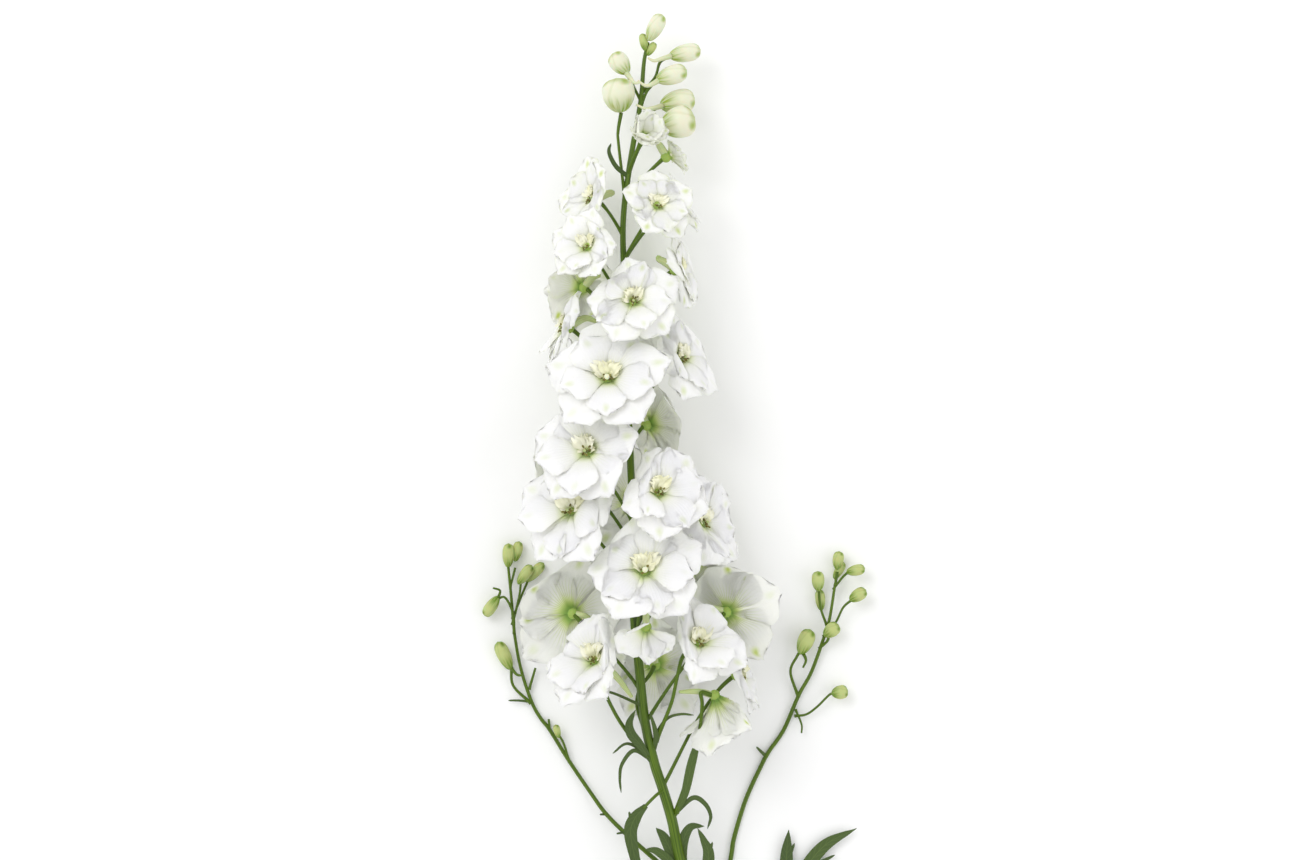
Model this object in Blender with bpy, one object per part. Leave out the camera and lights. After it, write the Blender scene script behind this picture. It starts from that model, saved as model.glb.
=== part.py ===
"""A white delphinium flower spike, cut and laid on its back.

The spike lies along Y with its tip at +Y, and the table is at Z = 0. Lengths are in metres. Places
are given on a layout in steps of half a millimetre, counted across to the right and down from the
tip, with the height over the table in millimetres.
"""

import math
import random

import bmesh
import bpy
import numpy as np
from mathutils import Matrix, Vector
from mathutils.bvhtree import BVHTree

STEP = 0.0005
MM = 0.001
MID_ACROSS = 678.46
MID_DOWN = 556.69
SEED = 7

SEPAL_THICK = 0.8 * MM
LEAF_THICK = 0.9 * MM
GAP = 0.5 * MM
WALL_HARD = 0.62 * MM
WALL_SOFT = 5.0 * MM
TABLE_SOFT = 1.6 * MM
SINK = 0.75
SHINGLE = 0.82
CORE = 3.5 * MM
SPUR_LENGTH = 17.0 * MM
FLAT_ENOUGH = (7.5, 5.0, 3.5, 2.0, 1.0, 0.5)
ROWS_LARGE = (0.0, 0.34, 0.68, 0.97)
ROWS_SMALL = (0.0, 0.52, 0.97)

# Main stem from tip to cut end: across, down, height, radius in mm.
STEM = [
    (648, 40, 23, 0.8), (644, 60, 24, 0.95), (641.5, 92, 25.5, 1.1), (639, 110, 26.3, 1.2),
    (629, 169, 28.5, 1.4), (623, 225, 30, 1.4), (625, 300, 32, 1.5), (627, 380, 33.5, 1.6),
    (630, 450, 34, 1.7), (633.5, 540, 34, 1.8), (634, 615, 33.5, 2.0), (639.4, 671, 32, 2.2),
    (645, 722, 30, 2.3), (654, 763, 28, 2.4), (663, 791, 26.5, 2.45), (672, 822, 24.5, 2.5),
    (678, 852, 22.5, 2.55), (687, 893, 19.5, 2.6), (699, 960, 13.5, 2.7),
    (709, 1020, 8.5, 2.8), (722, 1100, 3.2, 2.9),
]

# Blooms from the top: across, down, height of the heart, facing, length in mm, opening from 0 to 1,
# roll in degrees, outer sepals, inner sepals. The walls between two blooms let the one in
# front lie over the other like a tile.
BLOOMS = [
    (643, 138, 41, (0.35, 0.45, 0.82), 16, 0.25, 10, 5, 0),
    (667, 156, 29, (0.85, 0.35, -0.20), 15, 0.40, 0, 5, 0),
    (595, 199, 32, (-0.85, 0.32, 0.30), 24, 0.60, 20, 5, 0),
    (656, 207, 46, (0.40, 0.30, 0.85), 21, 0.85, 0, 5, 0),
    (681, 196, 31, (0.90, 0.25, 0.10), 20, 0.75, 30, 5, 0),
    (589, 249, 50, (-0.45, 0.35, 0.82), 22, 0.85, 0, 5, 0),
    (633, 304, 59, (0.10, 0.38, 0.92), 26, 1.00, 12, 5, 2),
    (676, 270, 36, (0.95, 0.15, 0.20), 24, 0.85, 0, 5, 0),
    (568, 328, 39, (-0.92, 0.20, 0.25), 26, 0.90, 15, 5, 0),
    (609, 380, 62, (-0.12, 0.42, 0.90), 33, 1.00, 0, 5, 2),
    (678, 358, 47, (0.75, 0.25, 0.55), 28, 0.90, 10, 5, 0),
    (647, 425, 25, (0.75, 0.15, -0.60), 28, 0.90, 0, 5, 0),
    (590, 452, 57, (-0.42, 0.35, 0.82), 32, 0.95, 5, 5, 2),
    (656, 492, 61, (0.45, 0.35, 0.82), 29, 0.90, 25, 5, 2),
    (574, 510, 50, (-0.52, 0.28, 0.78), 33, 0.95, 0, 5, 2),
    (644, 570, 63, (0.10, 0.48, 0.88), 34, 1.00, 8, 5, 2),
    (699, 522, 42, (0.85, 0.25, 0.35), 29, 0.85, 0, 5, 0),
    (572, 615, 20, (-0.42, 0.05, -0.85), 34, 0.90, 12, 5, 0),
    (727, 613, 24, (0.45, 0.02, -0.85), 33, 0.90, 0, 5, 0),
    (597, 660, 46, (-0.55, 0.45, 0.62), 31, 0.80, 18, 5, 2),
    (655, 668, 11, (0.05, -0.10, -1.00), 32, 0.90, 0, 5, 0),
    (715, 696, 34, (0.35, -0.75, -0.30), 34, 0.35, 20, 5, 0),
    (738, 676, 28, (0.90, 0.10, 0.15), 24, 0.80, 0, 5, 0),
    (697, 642, 50, (0.40, 0.50, 0.75), 29, 0.80, 10, 5, 0),
    (646, 626, 48, (-0.05, -0.60, 0.80), 22, 0.30, 0, 3, 0),
    (583, 287, 24, (-0.70, 0.10, -0.70), 24, 0.90, 0, 5, 0),
    (618, 345, 7.0, (-0.10, 0.10, -1.00), 28, 0.90, 0, 5, 0),
    (573, 475, 18.5, (-0.75, 0.00, -0.65), 29, 0.90, 0, 5, 0),
    (632, 505, 6.0, (0.00, 0.10, -1.00), 30, 0.90, 0, 5, 0),
    (692, 562, 16.5, (0.60, 0.10, -0.80), 29, 0.90, 0, 5, 0),
]

# Walls of single blooms: bloom, across, down, height, and the direction that points inside.
OWN_WALLS = [
    (18, 538, 580, 20, (0.55, -0.83, 0.0)),
    (18, 512, 620, 9.5, (0.25, 0.0, 1.0)),
    (20, 540, 724, 7.0, (0.15, 0.0, 1.0)),
]

# Spurs that are seen lead to a place of their own: bloom, across, down, height of the spur's end.
OWN_SPURS = {18: (605, 631, 30), 19: (687, 612, 32), 20: (632, 696, 42), 22: (679, 691, 40)}

# Stalks of the lowest blooms, from the stem to the bloom: across, down, height.
OWN_STALKS = {
    22: [(676, 815, 25), (692, 765, 30), (699, 735, 33), (702, 705, 37), (701, 692, 39)],
    24: [(656, 742, 29), (664, 722, 34), (672, 700, 39), (678, 672, 42), (683, 655, 44)],
    20: [(648, 757, 29), (625, 729, 34), (613, 709, 37), (605, 690, 40), (605, 675, 42)],
    21: [(646, 735, 29), (637, 707, 27), (640, 690, 24), (650, 676, 22)],
}

# Buds at the tip: base, tip, widest width in mm, and the foot of the stalk on the stem.
BUDS = [
    ((648, 39, 25), (662, 12.6, 27), 8.0, None),
    ((669, 54, 22), (701, 47, 21), 9.0, [(642.7, 90, 25), (655, 75, 22.5), (660, 60, 22)]),
    ((656, 79, 27), (687, 69, 29), 9.6, [(641, 104, 26), (647, 90, 27)]),
    ((628, 72, 25), (612, 52, 26), 9.8, [(641, 100, 26), (634, 86, 25)]),
    ((621, 112, 29), (616, 77.5, 31), 16.2, [(625, 200, 29.5), (618.5, 144, 29), (618, 130, 29)]),
    ((660, 104, 22), (695, 95, 19), 12.2, [(637, 128, 26.5), (648, 112, 23.5)]),
    ((661, 127, 30), (695, 117, 32), 15.8, [(629, 172, 28.8), (640, 146, 29), (652, 133, 29)]),
]


def place(across, down, height):
    """A point of the layout in metres."""
    return np.array([
        (across - MID_ACROSS) * STEP,
        (MID_DOWN - down) * STEP,
        (height - SINK) * MM,
    ])


def places(spots):
    """Several points of the layout in metres."""
    return np.array([place(*spot[:3]) for spot in spots])


def unit(vector):
    """The same direction with length one."""
    vector = np.asarray(vector, float)
    return vector / np.linalg.norm(vector)


def smooth(points, count):
    """Evenly numbered points on a smooth curve through the given ones."""
    points = np.asarray(points, float)
    first = 2 * points[0] - points[1]
    last = 2 * points[-1] - points[-2]
    ends = np.vstack([first, points, last])
    spots = np.linspace(0, len(points) - 1, count)
    index = np.minimum(spots.astype(int), len(points) - 2)
    part = (spots - index)[:, None]
    a, b, c, d = (ends[index + k] for k in range(4))
    cubic = 3 * (b - c) + d - a
    square = 2 * a - 5 * b + 4 * c - d
    return b + 0.5 * part * (c - a + part * (square + part * cubic))


STEM_LINE = smooth(places(STEM), 400)


def stem_at(y):
    """The centre of the main stem at one Y."""
    x = np.interp(-y, -STEM_LINE[:, 1], STEM_LINE[:, 0])
    z = np.interp(-y, -STEM_LINE[:, 1], STEM_LINE[:, 2])
    return np.array([x, y, z])


def outward(point):
    """Direction from the main stem to a point, square to Y, and the distance."""
    away = point - stem_at(point[1])
    reach = np.hypot(away[0], away[2])
    return np.array([away[0], 0.0, away[2]]) / max(reach, 1e-9), reach


class Bloom:
    """Place, frame and walls of one bloom or bud."""

    def __init__(self, heart, facing, length, room):
        self.heart = heart
        self.facing = unit(facing)
        lift = np.array([0.0, 1.0, 0.0])
        if abs(self.facing[1]) > 0.9:
            lift = np.array([0.0, 0.0, 1.0])
        self.up = unit(lift - self.facing * (lift @ self.facing))
        self.right = np.cross(self.up, self.facing)
        self.length = length
        self.room = room
        self.walls = [(np.zeros(3), np.array([0.0, 0.0, 1.0]), SEPAL_THICK / 2, TABLE_SOFT)]

    def away(self, angle):
        """Direction from the heart at an angle round the facing axis, and the one across it."""
        out = self.right * math.cos(angle) + self.up * math.sin(angle)
        side = self.up * math.cos(angle) - self.right * math.sin(angle)
        return out, side


def set_walls(blooms, buds):
    """Gives each bloom flat walls towards the stem, its neighbours and the buds."""
    for bloom in blooms:
        out, reach = outward(bloom.heart)
        centre = stem_at(bloom.heart[1])
        bloom.walls.append((centre + out * 3.2 * MM, out, WALL_HARD, WALL_SOFT))
    for index, one in enumerate(blooms):
        for two in blooms[index + 1:]:
            between = one.heart - two.heart
            if np.linalg.norm(between) > 85 * MM:
                continue
            alike = max(float(one.facing @ two.facing), 0.0)
            mean = unit(one.facing + two.facing + np.array([0.0, 1e-6, 0.0]))
            if abs(mean[2]) > 0.3:
                order = np.array([0.0, 0.42, math.copysign(0.9, mean[2])])
            else:
                order = np.array([math.copysign(0.9, mean[0]), 0.42, 0.0])
            over, under = (one, two) if between @ order > 0 else (two, one)
            between = over.heart - under.heart
            share = under.length / (over.length + under.length)
            middle = under.heart + between * share
            weight = SHINGLE * math.sqrt(alike)
            normal = unit((1 - weight) * unit(between) + weight * mean)
            over.walls.append((middle, normal, WALL_HARD, WALL_SOFT))
            under.walls.append((middle, -normal, WALL_HARD, WALL_SOFT))
    for bloom in blooms:
        for bud in buds:
            line = unit(bloom.heart - bud.heart)
            edge = bud.heart + line * (bud.room + GAP)
            bloom.walls.append((edge, line, SEPAL_THICK / 2, WALL_SOFT))
    for number, across, down, height, inside in OWN_WALLS:
        spot = place(across, down, height)
        blooms[number - 1].walls.append((spot, unit(inside), WALL_HARD, WALL_SOFT))


def settle(points, walls, most=WALL_SOFT, extra=0.0):
    """Presses points softly away from flat walls, and in the end fully inside them."""
    flat = points.reshape(-1, 3).copy()
    for spot, normal, hard, soft in walls:
        hard = hard + extra
        soft = max(min(soft, most), hard + 0.5 * MM)
        depth = (flat - spot) @ normal
        near = depth < soft
        eased = hard + (soft - hard) * np.exp((depth - soft) / (soft - hard))
        flat += np.where(near, eased - depth, 0.0)[:, None] * normal
    for _ in range(14):
        for spot, normal, hard, _ in walls:
            depth = (flat - spot) @ normal
            flat += np.maximum(hard + extra - depth, 0.0)[:, None] * normal
    return flat.reshape(points.shape)


def sepal_grid(bloom, angle, length, width, start, finish, rows, columns, twist, draw):
    """Middle surface of one sepal: a claw that widens to a rounded, cupped blade."""
    along = np.array(rows)
    across = np.linspace(-1.0, 1.0, columns)
    fine = np.linspace(0.0, 1.0, 60)
    bend = np.radians(start + (finish - start) * np.minimum(1.0, fine / 0.6) ** 0.8)
    forward = np.concatenate([[0], np.cumsum(np.cos(bend))[:-1]]) / 60
    sideways = np.concatenate([[0], np.cumsum(np.sin(bend))[:-1]]) / 60
    grow = np.clip(along / 0.62, 0, 1)
    rise = 0.13 + 0.87 * grow * grow * (3 - 2 * grow)
    fall = np.sqrt(np.clip(1 - (np.clip(along - 0.62, 0, 1) / 0.39) ** 2, 0, 1))
    half = width * rise * fall
    s, t = np.meshgrid(along, across, indexing="ij")
    reach = s * (1 - 0.13 * t * t * s * s)
    lean = np.radians(np.interp(reach, fine, np.degrees(bend)))
    n = np.interp(reach, fine, forward) * length
    e = np.interp(reach, fine, sideways) * length + 1.3 * MM
    wide = half[:, None] * t
    cup = half[:, None] * (0.22 * t * t * (1 - 0.5 * s))
    roll = wide * math.sin(math.radians(twist))
    wave = 0.035 * length * t * s * np.sin(7.0 * s + draw)
    front = cup + roll + wave
    out, side = bloom.away(angle)
    toward = n + np.sin(lean) * front
    off = e - np.cos(lean) * front
    grid = (
        bloom.heart
        + toward[..., None] * bloom.facing
        + off[..., None] * out
        + (wide * math.cos(math.radians(twist)))[..., None] * side
    )
    return settle(grid, bloom.walls)


def new_object(name, mesh, group):
    """Links a mesh to a collection as a named object."""
    item = bpy.data.objects.new(name, mesh)
    group.objects.link(item)
    return item


def blade_mesh(name, middle, thick):
    """A closed thin body round a grid of points, with both faces split alike."""
    rows, columns = middle.shape[:2]
    lengthwise = np.gradient(middle, axis=0)
    crosswise = np.gradient(middle, axis=1)
    normal = np.cross(lengthwise, crosswise)
    normal /= np.maximum(np.linalg.norm(normal, axis=2, keepdims=True), 1e-12)
    front = (middle + normal * thick / 2).reshape(-1, 3)
    back = (middle - normal * thick / 2).reshape(-1, 3)
    points = np.concatenate([front, back])
    points[:, 2] = np.maximum(points[:, 2], 0.0)
    points[points[:, 2] < 0.12 * MM, 2] = 0.0
    count = rows * columns
    faces = []
    for i in range(rows - 1):
        for j in range(columns - 1):
            a = i * columns + j
            b, c, d = a + 1, a + columns + 1, a + columns
            halves = [(a, b, c), (a, c, d)] if j < (columns - 1) / 2 else [(a, b, d), (b, c, d)]
            faces += halves
            faces += [tuple(k + count for k in reversed(half)) for half in halves]
    rim = [j for j in range(columns)]
    rim += [i * columns + columns - 1 for i in range(1, rows)]
    rim += [(rows - 1) * columns + j for j in reversed(range(columns - 1))]
    rim += [i * columns for i in reversed(range(1, rows - 1))]
    for a, b in zip(rim, rim[1:] + rim[:1]):
        faces += [(a, a + count, b + count), (a, b + count, b)]
    mesh = bpy.data.meshes.new(name)
    mesh.from_pydata(points.tolist(), [], faces)
    tidy(mesh)
    return mesh


def tidy(mesh):
    """Welds double points and turns all faces outward."""
    work = bmesh.new()
    work.from_mesh(mesh)
    bmesh.ops.remove_doubles(work, verts=work.verts, dist=0.00001)
    bmesh.ops.recalc_face_normals(work, faces=work.faces)
    if work.calc_volume(signed=True) < 0:
        bmesh.ops.reverse_faces(work, faces=work.faces)
    work.to_mesh(mesh)
    work.free()


def tube_mesh(name, path, radii, rings):
    """A round stalk along a path, with a radius at each point."""
    curve = bpy.data.curves.new(name, "CURVE")
    curve.dimensions = "3D"
    curve.bevel_depth = 1.0
    curve.bevel_resolution = rings
    curve.use_fill_caps = True
    spline = curve.splines.new("POLY")
    spline.points.add(len(path) - 1)
    for point, spot, radius in zip(spline.points, path, radii):
        point.co = (*spot, 1.0)
        point.radius = radius
    holder = bpy.data.objects.new(name, curve)
    bpy.context.scene.collection.objects.link(holder)
    mesh = bpy.data.meshes.new_from_object(holder)
    mesh.name = name
    bpy.data.objects.remove(holder)
    bpy.data.curves.remove(curve)
    for vertex in mesh.vertices:
        vertex.co.z = max(vertex.co.z, 0.0)
    tidy(mesh)
    return mesh


def bud_mesh(name, base, tip, width, sides, rings):
    """A closed bud: a ball drawn out to a blunt tip, with five soft ribs."""
    work = bmesh.new()
    bmesh.ops.create_uvsphere(work, u_segments=sides, v_segments=rings, radius=0.5)
    length = np.linalg.norm(tip - base)
    for vertex in work.verts:
        level = vertex.co.z + 0.5
        angle = math.atan2(vertex.co.y, vertex.co.x)
        swell = 1.0 + 0.16 * (0.45 - level) + 0.05 * math.cos(5 * angle)
        vertex.co.x *= swell * width
        vertex.co.y *= swell * width
        vertex.co.z *= length
    turn = Vector(unit(tip - base)).to_track_quat("Z", "Y").to_matrix().to_4x4()
    bmesh.ops.transform(work, matrix=Matrix.Translation((base + tip) / 2) @ turn, verts=work.verts)
    for vertex in work.verts:
        vertex.co.z = max(vertex.co.z, 0.0)
    mesh = bpy.data.meshes.new(name)
    work.to_mesh(mesh)
    work.free()
    return mesh


def join(target, pieces, operation):
    """Joins pieces to an object, or cuts them from it, and removes them."""
    if not pieces:
        return
    group = bpy.data.collections.new("cutters")
    bpy.context.scene.collection.children.link(group)
    for piece in pieces:
        for holder in list(piece.users_collection):
            holder.objects.unlink(piece)
        group.objects.link(piece)
        piece.hide_render = True
        piece.display_type = "WIRE"
    step = target.modifiers.new("join", "BOOLEAN")
    step.operation = operation
    step.operand_type = "COLLECTION"
    step.collection = group
    step.solver = "MANIFOLD"
    graph = bpy.context.evaluated_depsgraph_get()
    result = bpy.data.meshes.new_from_object(target.evaluated_get(graph))
    target.modifiers.clear()
    old = target.data
    target.data = result
    bpy.data.meshes.remove(old)
    for piece in pieces:
        mesh = piece.data
        bpy.data.objects.remove(piece)
        bpy.data.meshes.remove(mesh)
    bpy.data.collections.remove(group)
    keep_largest(target.data)


def flattened(work):
    """The same body in triangles, with nearly flat ones merged where it stays closed."""
    for degrees in FLAT_ENOUGH:
        flat = work.copy()
        limit = math.radians(degrees)
        bmesh.ops.dissolve_limit(flat, angle_limit=limit, verts=flat.verts, edges=flat.edges)
        bmesh.ops.triangulate(flat, faces=flat.faces)
        if all(len(edge.link_faces) == 2 for edge in flat.edges):
            work.free()
            return flat
        flat.free()
    bmesh.ops.triangulate(work, faces=work.faces)
    return work


def keep_largest(mesh):
    """Welds a joined mesh, splits it into triangles and drops loose scraps."""
    work = bmesh.new()
    work.from_mesh(mesh)
    bmesh.ops.remove_doubles(work, verts=work.verts, dist=0.000001)
    work = flattened(work)
    left = set(work.verts)
    islands = []
    while left:
        queue = [left.pop()]
        island = set(queue)
        while queue:
            for edge in queue.pop().link_edges:
                for vertex in edge.verts:
                    if vertex in left:
                        left.discard(vertex)
                        island.add(vertex)
                        queue.append(vertex)
        islands.append(island)
    islands.sort(key=len)
    scraps = [vertex for island in islands[:-1] for vertex in island]
    bmesh.ops.delete(work, geom=scraps, context="VERTS")
    bmesh.ops.recalc_face_normals(work, faces=work.faces)
    if work.calc_volume(signed=True) < 0:
        bmesh.ops.reverse_faces(work, faces=work.faces)
    work.to_mesh(mesh)
    work.free()


def touches(one, two):
    """Whether the surfaces of two objects meet."""
    trees = []
    for item in (one, two):
        points = [vertex.co for vertex in item.data.vertices]
        trees.append(BVHTree.FromPolygons(points, [list(f.vertices) for f in item.data.polygons]))
    return bool(trees[0].overlap(trees[1]))


class Green:
    """A green body made of stalks, blades and buds, with the room that it needs."""

    def __init__(self, name):
        self.name = name
        self.parts = []

    def stalk(self, spots, radii, count, rings=0):
        """Adds a stalk through the given places, with radii in mm."""
        self.stalk_at(places(spots), radii, count, rings)

    def stalk_at(self, path, radii, count, rings=0):
        """Adds a stalk along a path in metres, with radii in mm."""
        path = smooth(path, count)
        sizes = np.interp(np.linspace(0, 1, count), np.linspace(0, 1, len(radii)), radii) * MM
        self.parts.append(("stalk", path, sizes, rings))

    def leaf(self, spots, widths, count, columns=3, fold=0.12, face=(0, 0, 1)):
        """Adds a leaf blade along a midrib, with full widths in mm."""
        line = smooth(places(spots), count)
        half = np.interp(np.linspace(0, 1, count), np.linspace(0, 1, len(widths)), widths)
        half = half * MM / 2
        ahead = np.gradient(line, axis=0)
        ahead /= np.linalg.norm(ahead, axis=1, keepdims=True)
        side = np.cross(ahead, unit(face))
        side /= np.linalg.norm(side, axis=1, keepdims=True)
        lift = np.cross(side, ahead)
        t = np.linspace(-1, 1, columns)
        grid = line[:, None] + (half[:, None] * t)[..., None] * side[:, None]
        grid = grid + (fold * half[:, None] * t * t)[..., None] * lift[:, None]
        grid[..., 2] = np.maximum(grid[..., 2], LEAF_THICK / 2)
        self.parts.append(("blade", grid, LEAF_THICK, 0))

    def bud(self, base, tip, width, sides=5, rings=4):
        """Adds a bud between two places of the layout."""
        self.parts.append(("bud", place(*base), place(*tip), (width * MM, sides, rings)))

    def make(self, part, group, grow=0.0):
        """One part as an object, grown on all sides by a distance."""
        kind, first, second, third = part
        if kind == "stalk":
            mesh = tube_mesh("stalk", first, second + grow, third)
        elif kind == "blade":
            mesh = blade_mesh("blade", first, second + 2 * grow)
        else:
            width, sides, rings = third
            reach = unit(second - first) * grow
            mesh = bud_mesh("bud", first - reach, second + reach, width + 2 * grow, sides, rings)
        return new_object("piece", mesh, group)

    def build(self, group):
        """All parts joined in one body."""
        body = self.make(self.parts[0], group)
        body.name = self.name
        join(body, [self.make(part, group) for part in self.parts[1:]], "UNION")
        return body


def bloom_body(name, bloom, opening, roll, outer, inner, spur, group, draw):
    """One bloom: sepals in two whorls, bee petals, core and spur, joined in one body."""
    work = bmesh.new()
    bmesh.ops.create_icosphere(work, subdivisions=1, radius=CORE)
    bmesh.ops.translate(work, verts=work.verts, vec=Vector(bloom.heart))
    mesh = bpy.data.meshes.new(name)
    work.to_mesh(mesh)
    work.free()
    body = new_object(name, mesh, group)
    pieces = []
    length = bloom.length
    turns = {3: (210, 270, 330), 5: (90, 162, 234, 306, 18)}
    for index in range(outer):
        angle = turns[outer][index] + roll + draw.uniform(-6, 6)
        grid = sepal_grid(
            bloom, math.radians(angle), length * draw.uniform(0.93, 1.03),
            length * 0.40 * draw.uniform(0.92, 1.06), 18 + 30 * opening, 52 + 46 * opening,
            ROWS_LARGE if length > 32.5 * MM else ROWS_SMALL, 3, 11, draw.uniform(0, 6),
        )
        pieces.append(new_object("sepal", blade_mesh("sepal", grid, SEPAL_THICK), group))
    for index in range(inner):
        angle = 126 + roll + index * 360 / max(inner, 1) + draw.uniform(-8, 8)
        grid = sepal_grid(
            bloom, math.radians(angle), length * draw.uniform(0.72, 0.8),
            length * 0.31 * draw.uniform(0.92, 1.06), 18 + 27 * opening, 42 + 44 * opening,
            (0.0, 0.45, 0.97), 3, 9, draw.uniform(0, 6),
        )
        pieces.append(new_object("sepal", blade_mesh("sepal", grid, SEPAL_THICK), group))
    if spur is None:
        back = bloom.heart - bloom.facing * SPUR_LENGTH * 0.85 + bloom.up * SPUR_LENGTH * 0.35
        bow = bloom.heart - bloom.facing * SPUR_LENGTH * 0.45 + bloom.up * SPUR_LENGTH * 0.38
    else:
        back = spur
        bow = (bloom.heart + spur) / 2 + bloom.up * 2 * MM
    path = settle(smooth([bloom.heart, bow, back], 4), bloom.walls, 2.5 * MM, 1.6 * MM)
    path[0] = bloom.heart
    sizes = np.array([1.9, 1.8, 1.5, 0.9]) * MM
    pieces.append(new_object("spur", tube_mesh("spur", path, sizes, 0), group))
    join(body, pieces, "UNION")
    return body


def stalk_path(bloom):
    """A stalk that leaves the stem below a bloom and reaches its back."""
    end = bloom.heart - bloom.facing * (CORE + 0.6 * MM)
    out, reach = outward(end)
    foot = stem_at(end[1] - 1.15 * reach - 4 * MM)
    first = foot + np.array([0, 0.45 * reach, 0]) + out * 0.25 * reach
    last = end - bloom.facing * 0.3 * reach - np.array([0, 0.2 * reach, 0])
    s = np.linspace(0, 1, 5)[:, None]
    line = (1 - s) ** 3 * foot + 3 * s * (1 - s) ** 2 * first
    line = line + 3 * s * s * (1 - s) * last + s ** 3 * end
    line[:, 2] = np.maximum(line[:, 2], 1.2 * MM)
    return line


def add_leaves(stem):
    """Bracts and lobed leaves at the foot of the flower head."""
    thin = dict(columns=2, fold=0.0)
    stem.leaf([(651, 762, 29), (640, 745, 33), (631, 733, 36), (629.5, 722, 38), (635.5, 709, 40)],
              [2, 4.5, 5.2, 3.8, 0.9], 5)
    stem.leaf([(651, 760, 29), (634, 751, 31), (622, 765, 29), (619.7, 780, 26), (621, 795, 23)],
              [2.4, 2.2, 1.8, 1.4, 0.9], 5, **thin)
    stem.leaf([(650, 757, 29), (628, 744, 32), (612.5, 754, 31)], [2.0, 1.5, 0.9], 3, **thin)
    stem.leaf([(645, 708, 31), (633.5, 702, 33), (609, 692, 34), (594, 694.5, 33)],
              [1.8, 1.5, 1.3, 0.9], 4, **thin)
    stem.leaf([(654, 750, 29), (656, 735, 32), (650, 712, 35)], [2.4, 3.0, 0.9], 3, **thin)
    stem.leaf([(655, 745, 29), (659, 730, 31), (668, 718, 34), (681, 714, 35), (694, 715, 35)],
              [2.0, 1.8, 1.5, 1.3, 0.9], 4, **thin)
    stem.stalk([(671, 822, 25), (680, 811, 26)], [1.0, 0.8], 2)
    stem.leaf([(677, 815, 25.5), (685, 794, 29), (691, 766, 33), (696, 747, 35), (700, 733, 36)],
              [1.6, 4.2, 4.8, 3.4, 0.9], 5)
    stem.leaf([(677, 814, 25.5), (693, 799, 28), (705, 805, 27), (711, 818, 24), (708, 832, 20)],
              [1.6, 2.6, 2.4, 1.8, 0.9], 5, **thin)
    stem.stalk([(665, 790, 27), (655, 797, 31), (643, 809, 32)], [0.9, 0.8, 0.8], 3)
    stem.leaf([(646, 806, 32), (636, 817, 31.5), (630.5, 832, 29), (634, 857, 22), (641, 885, 14),
               (645, 915, 6)], [2.0, 6.5, 7.0, 5.2, 4.0, 0.9], 6)
    stem.leaf([(632, 824, 30.5), (629, 812, 32)], [3.0, 0.9], 2, **thin)
    stem.leaf([(684, 884, 20.5), (673, 858, 21), (664, 840, 21), (656, 831, 20)],
              [5.0, 6.5, 5.0, 0.9], 4)
    stem.leaf([(683, 880, 19), (682, 850, 22), (690, 830, 23), (704.6, 829, 21)],
              [5.0, 6.0, 4.2, 0.9], 4)
    stem.leaf([(685, 886, 20.5), (670, 865, 22), (657, 854, 22), (645, 852.5, 21)],
              [4.0, 4.8, 4.2, 0.9], 4)
    stem.leaf([(688, 900, 18), (705, 880, 20), (709, 857, 21), (704, 843, 21.5), (698, 831, 21.5)],
              [3.0, 6.5, 6.0, 3.4, 0.9], 5)
    stem.leaf([(708, 862, 20.5), (713, 845, 20.5)], [3.4, 0.9], 2, **thin)
    stem.stalk([(699, 955, 14), (725, 958, 13), (760, 938, 7), (797, 908, 3)],
               [1.3, 1.1, 1.1, 1.1], 4)
    fan = [
        [(796, 910, 3), (789, 886, 3.5), (789, 860, 4), (791, 836.5, 4)],
        [(799, 908, 3), (806, 880, 3.5), (828, 852, 4), (860, 835, 4)],
        [(800, 910, 3), (826, 896, 4), (850, 886, 5), (876, 888, 4)],
        [(799, 912, 3), (818, 928, 4), (834, 950, 4), (846, 974, 3)],
        [(796, 912, 3), (795, 940, 4), (786, 965, 4), (775, 986, 2)],
    ]
    for spots in fan:
        stem.leaf(spots, [4.0, 7.0, 6.5, 0.9], 4)
    stem.leaf([(789, 868, 3.8), (797, 850, 4)], [3.6, 0.9], 2, **thin)
    stem.leaf([(811, 876, 3.5), (838, 862, 4)], [3.8, 0.9], 2, **thin)
    stem.leaf([(632, 600, 35), (638, 616, 37), (634, 633, 39)], [3.0, 5.4, 0.9], 3)


def add_spurs_at_top(stem):
    """Small buds and curled bracts near the tip."""
    stem.bud((645, 47, 24), (642, 31, 23), 4.2)
    stem.bud((648, 52, 24), (655, 40, 22), 4.0)
    stem.leaf([(628, 176, 29), (616, 166, 31), (609, 152, 32), (611, 143, 32)],
              [2.2, 2.4, 2.0, 0.9], 5, columns=2, fold=0.0)


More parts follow.
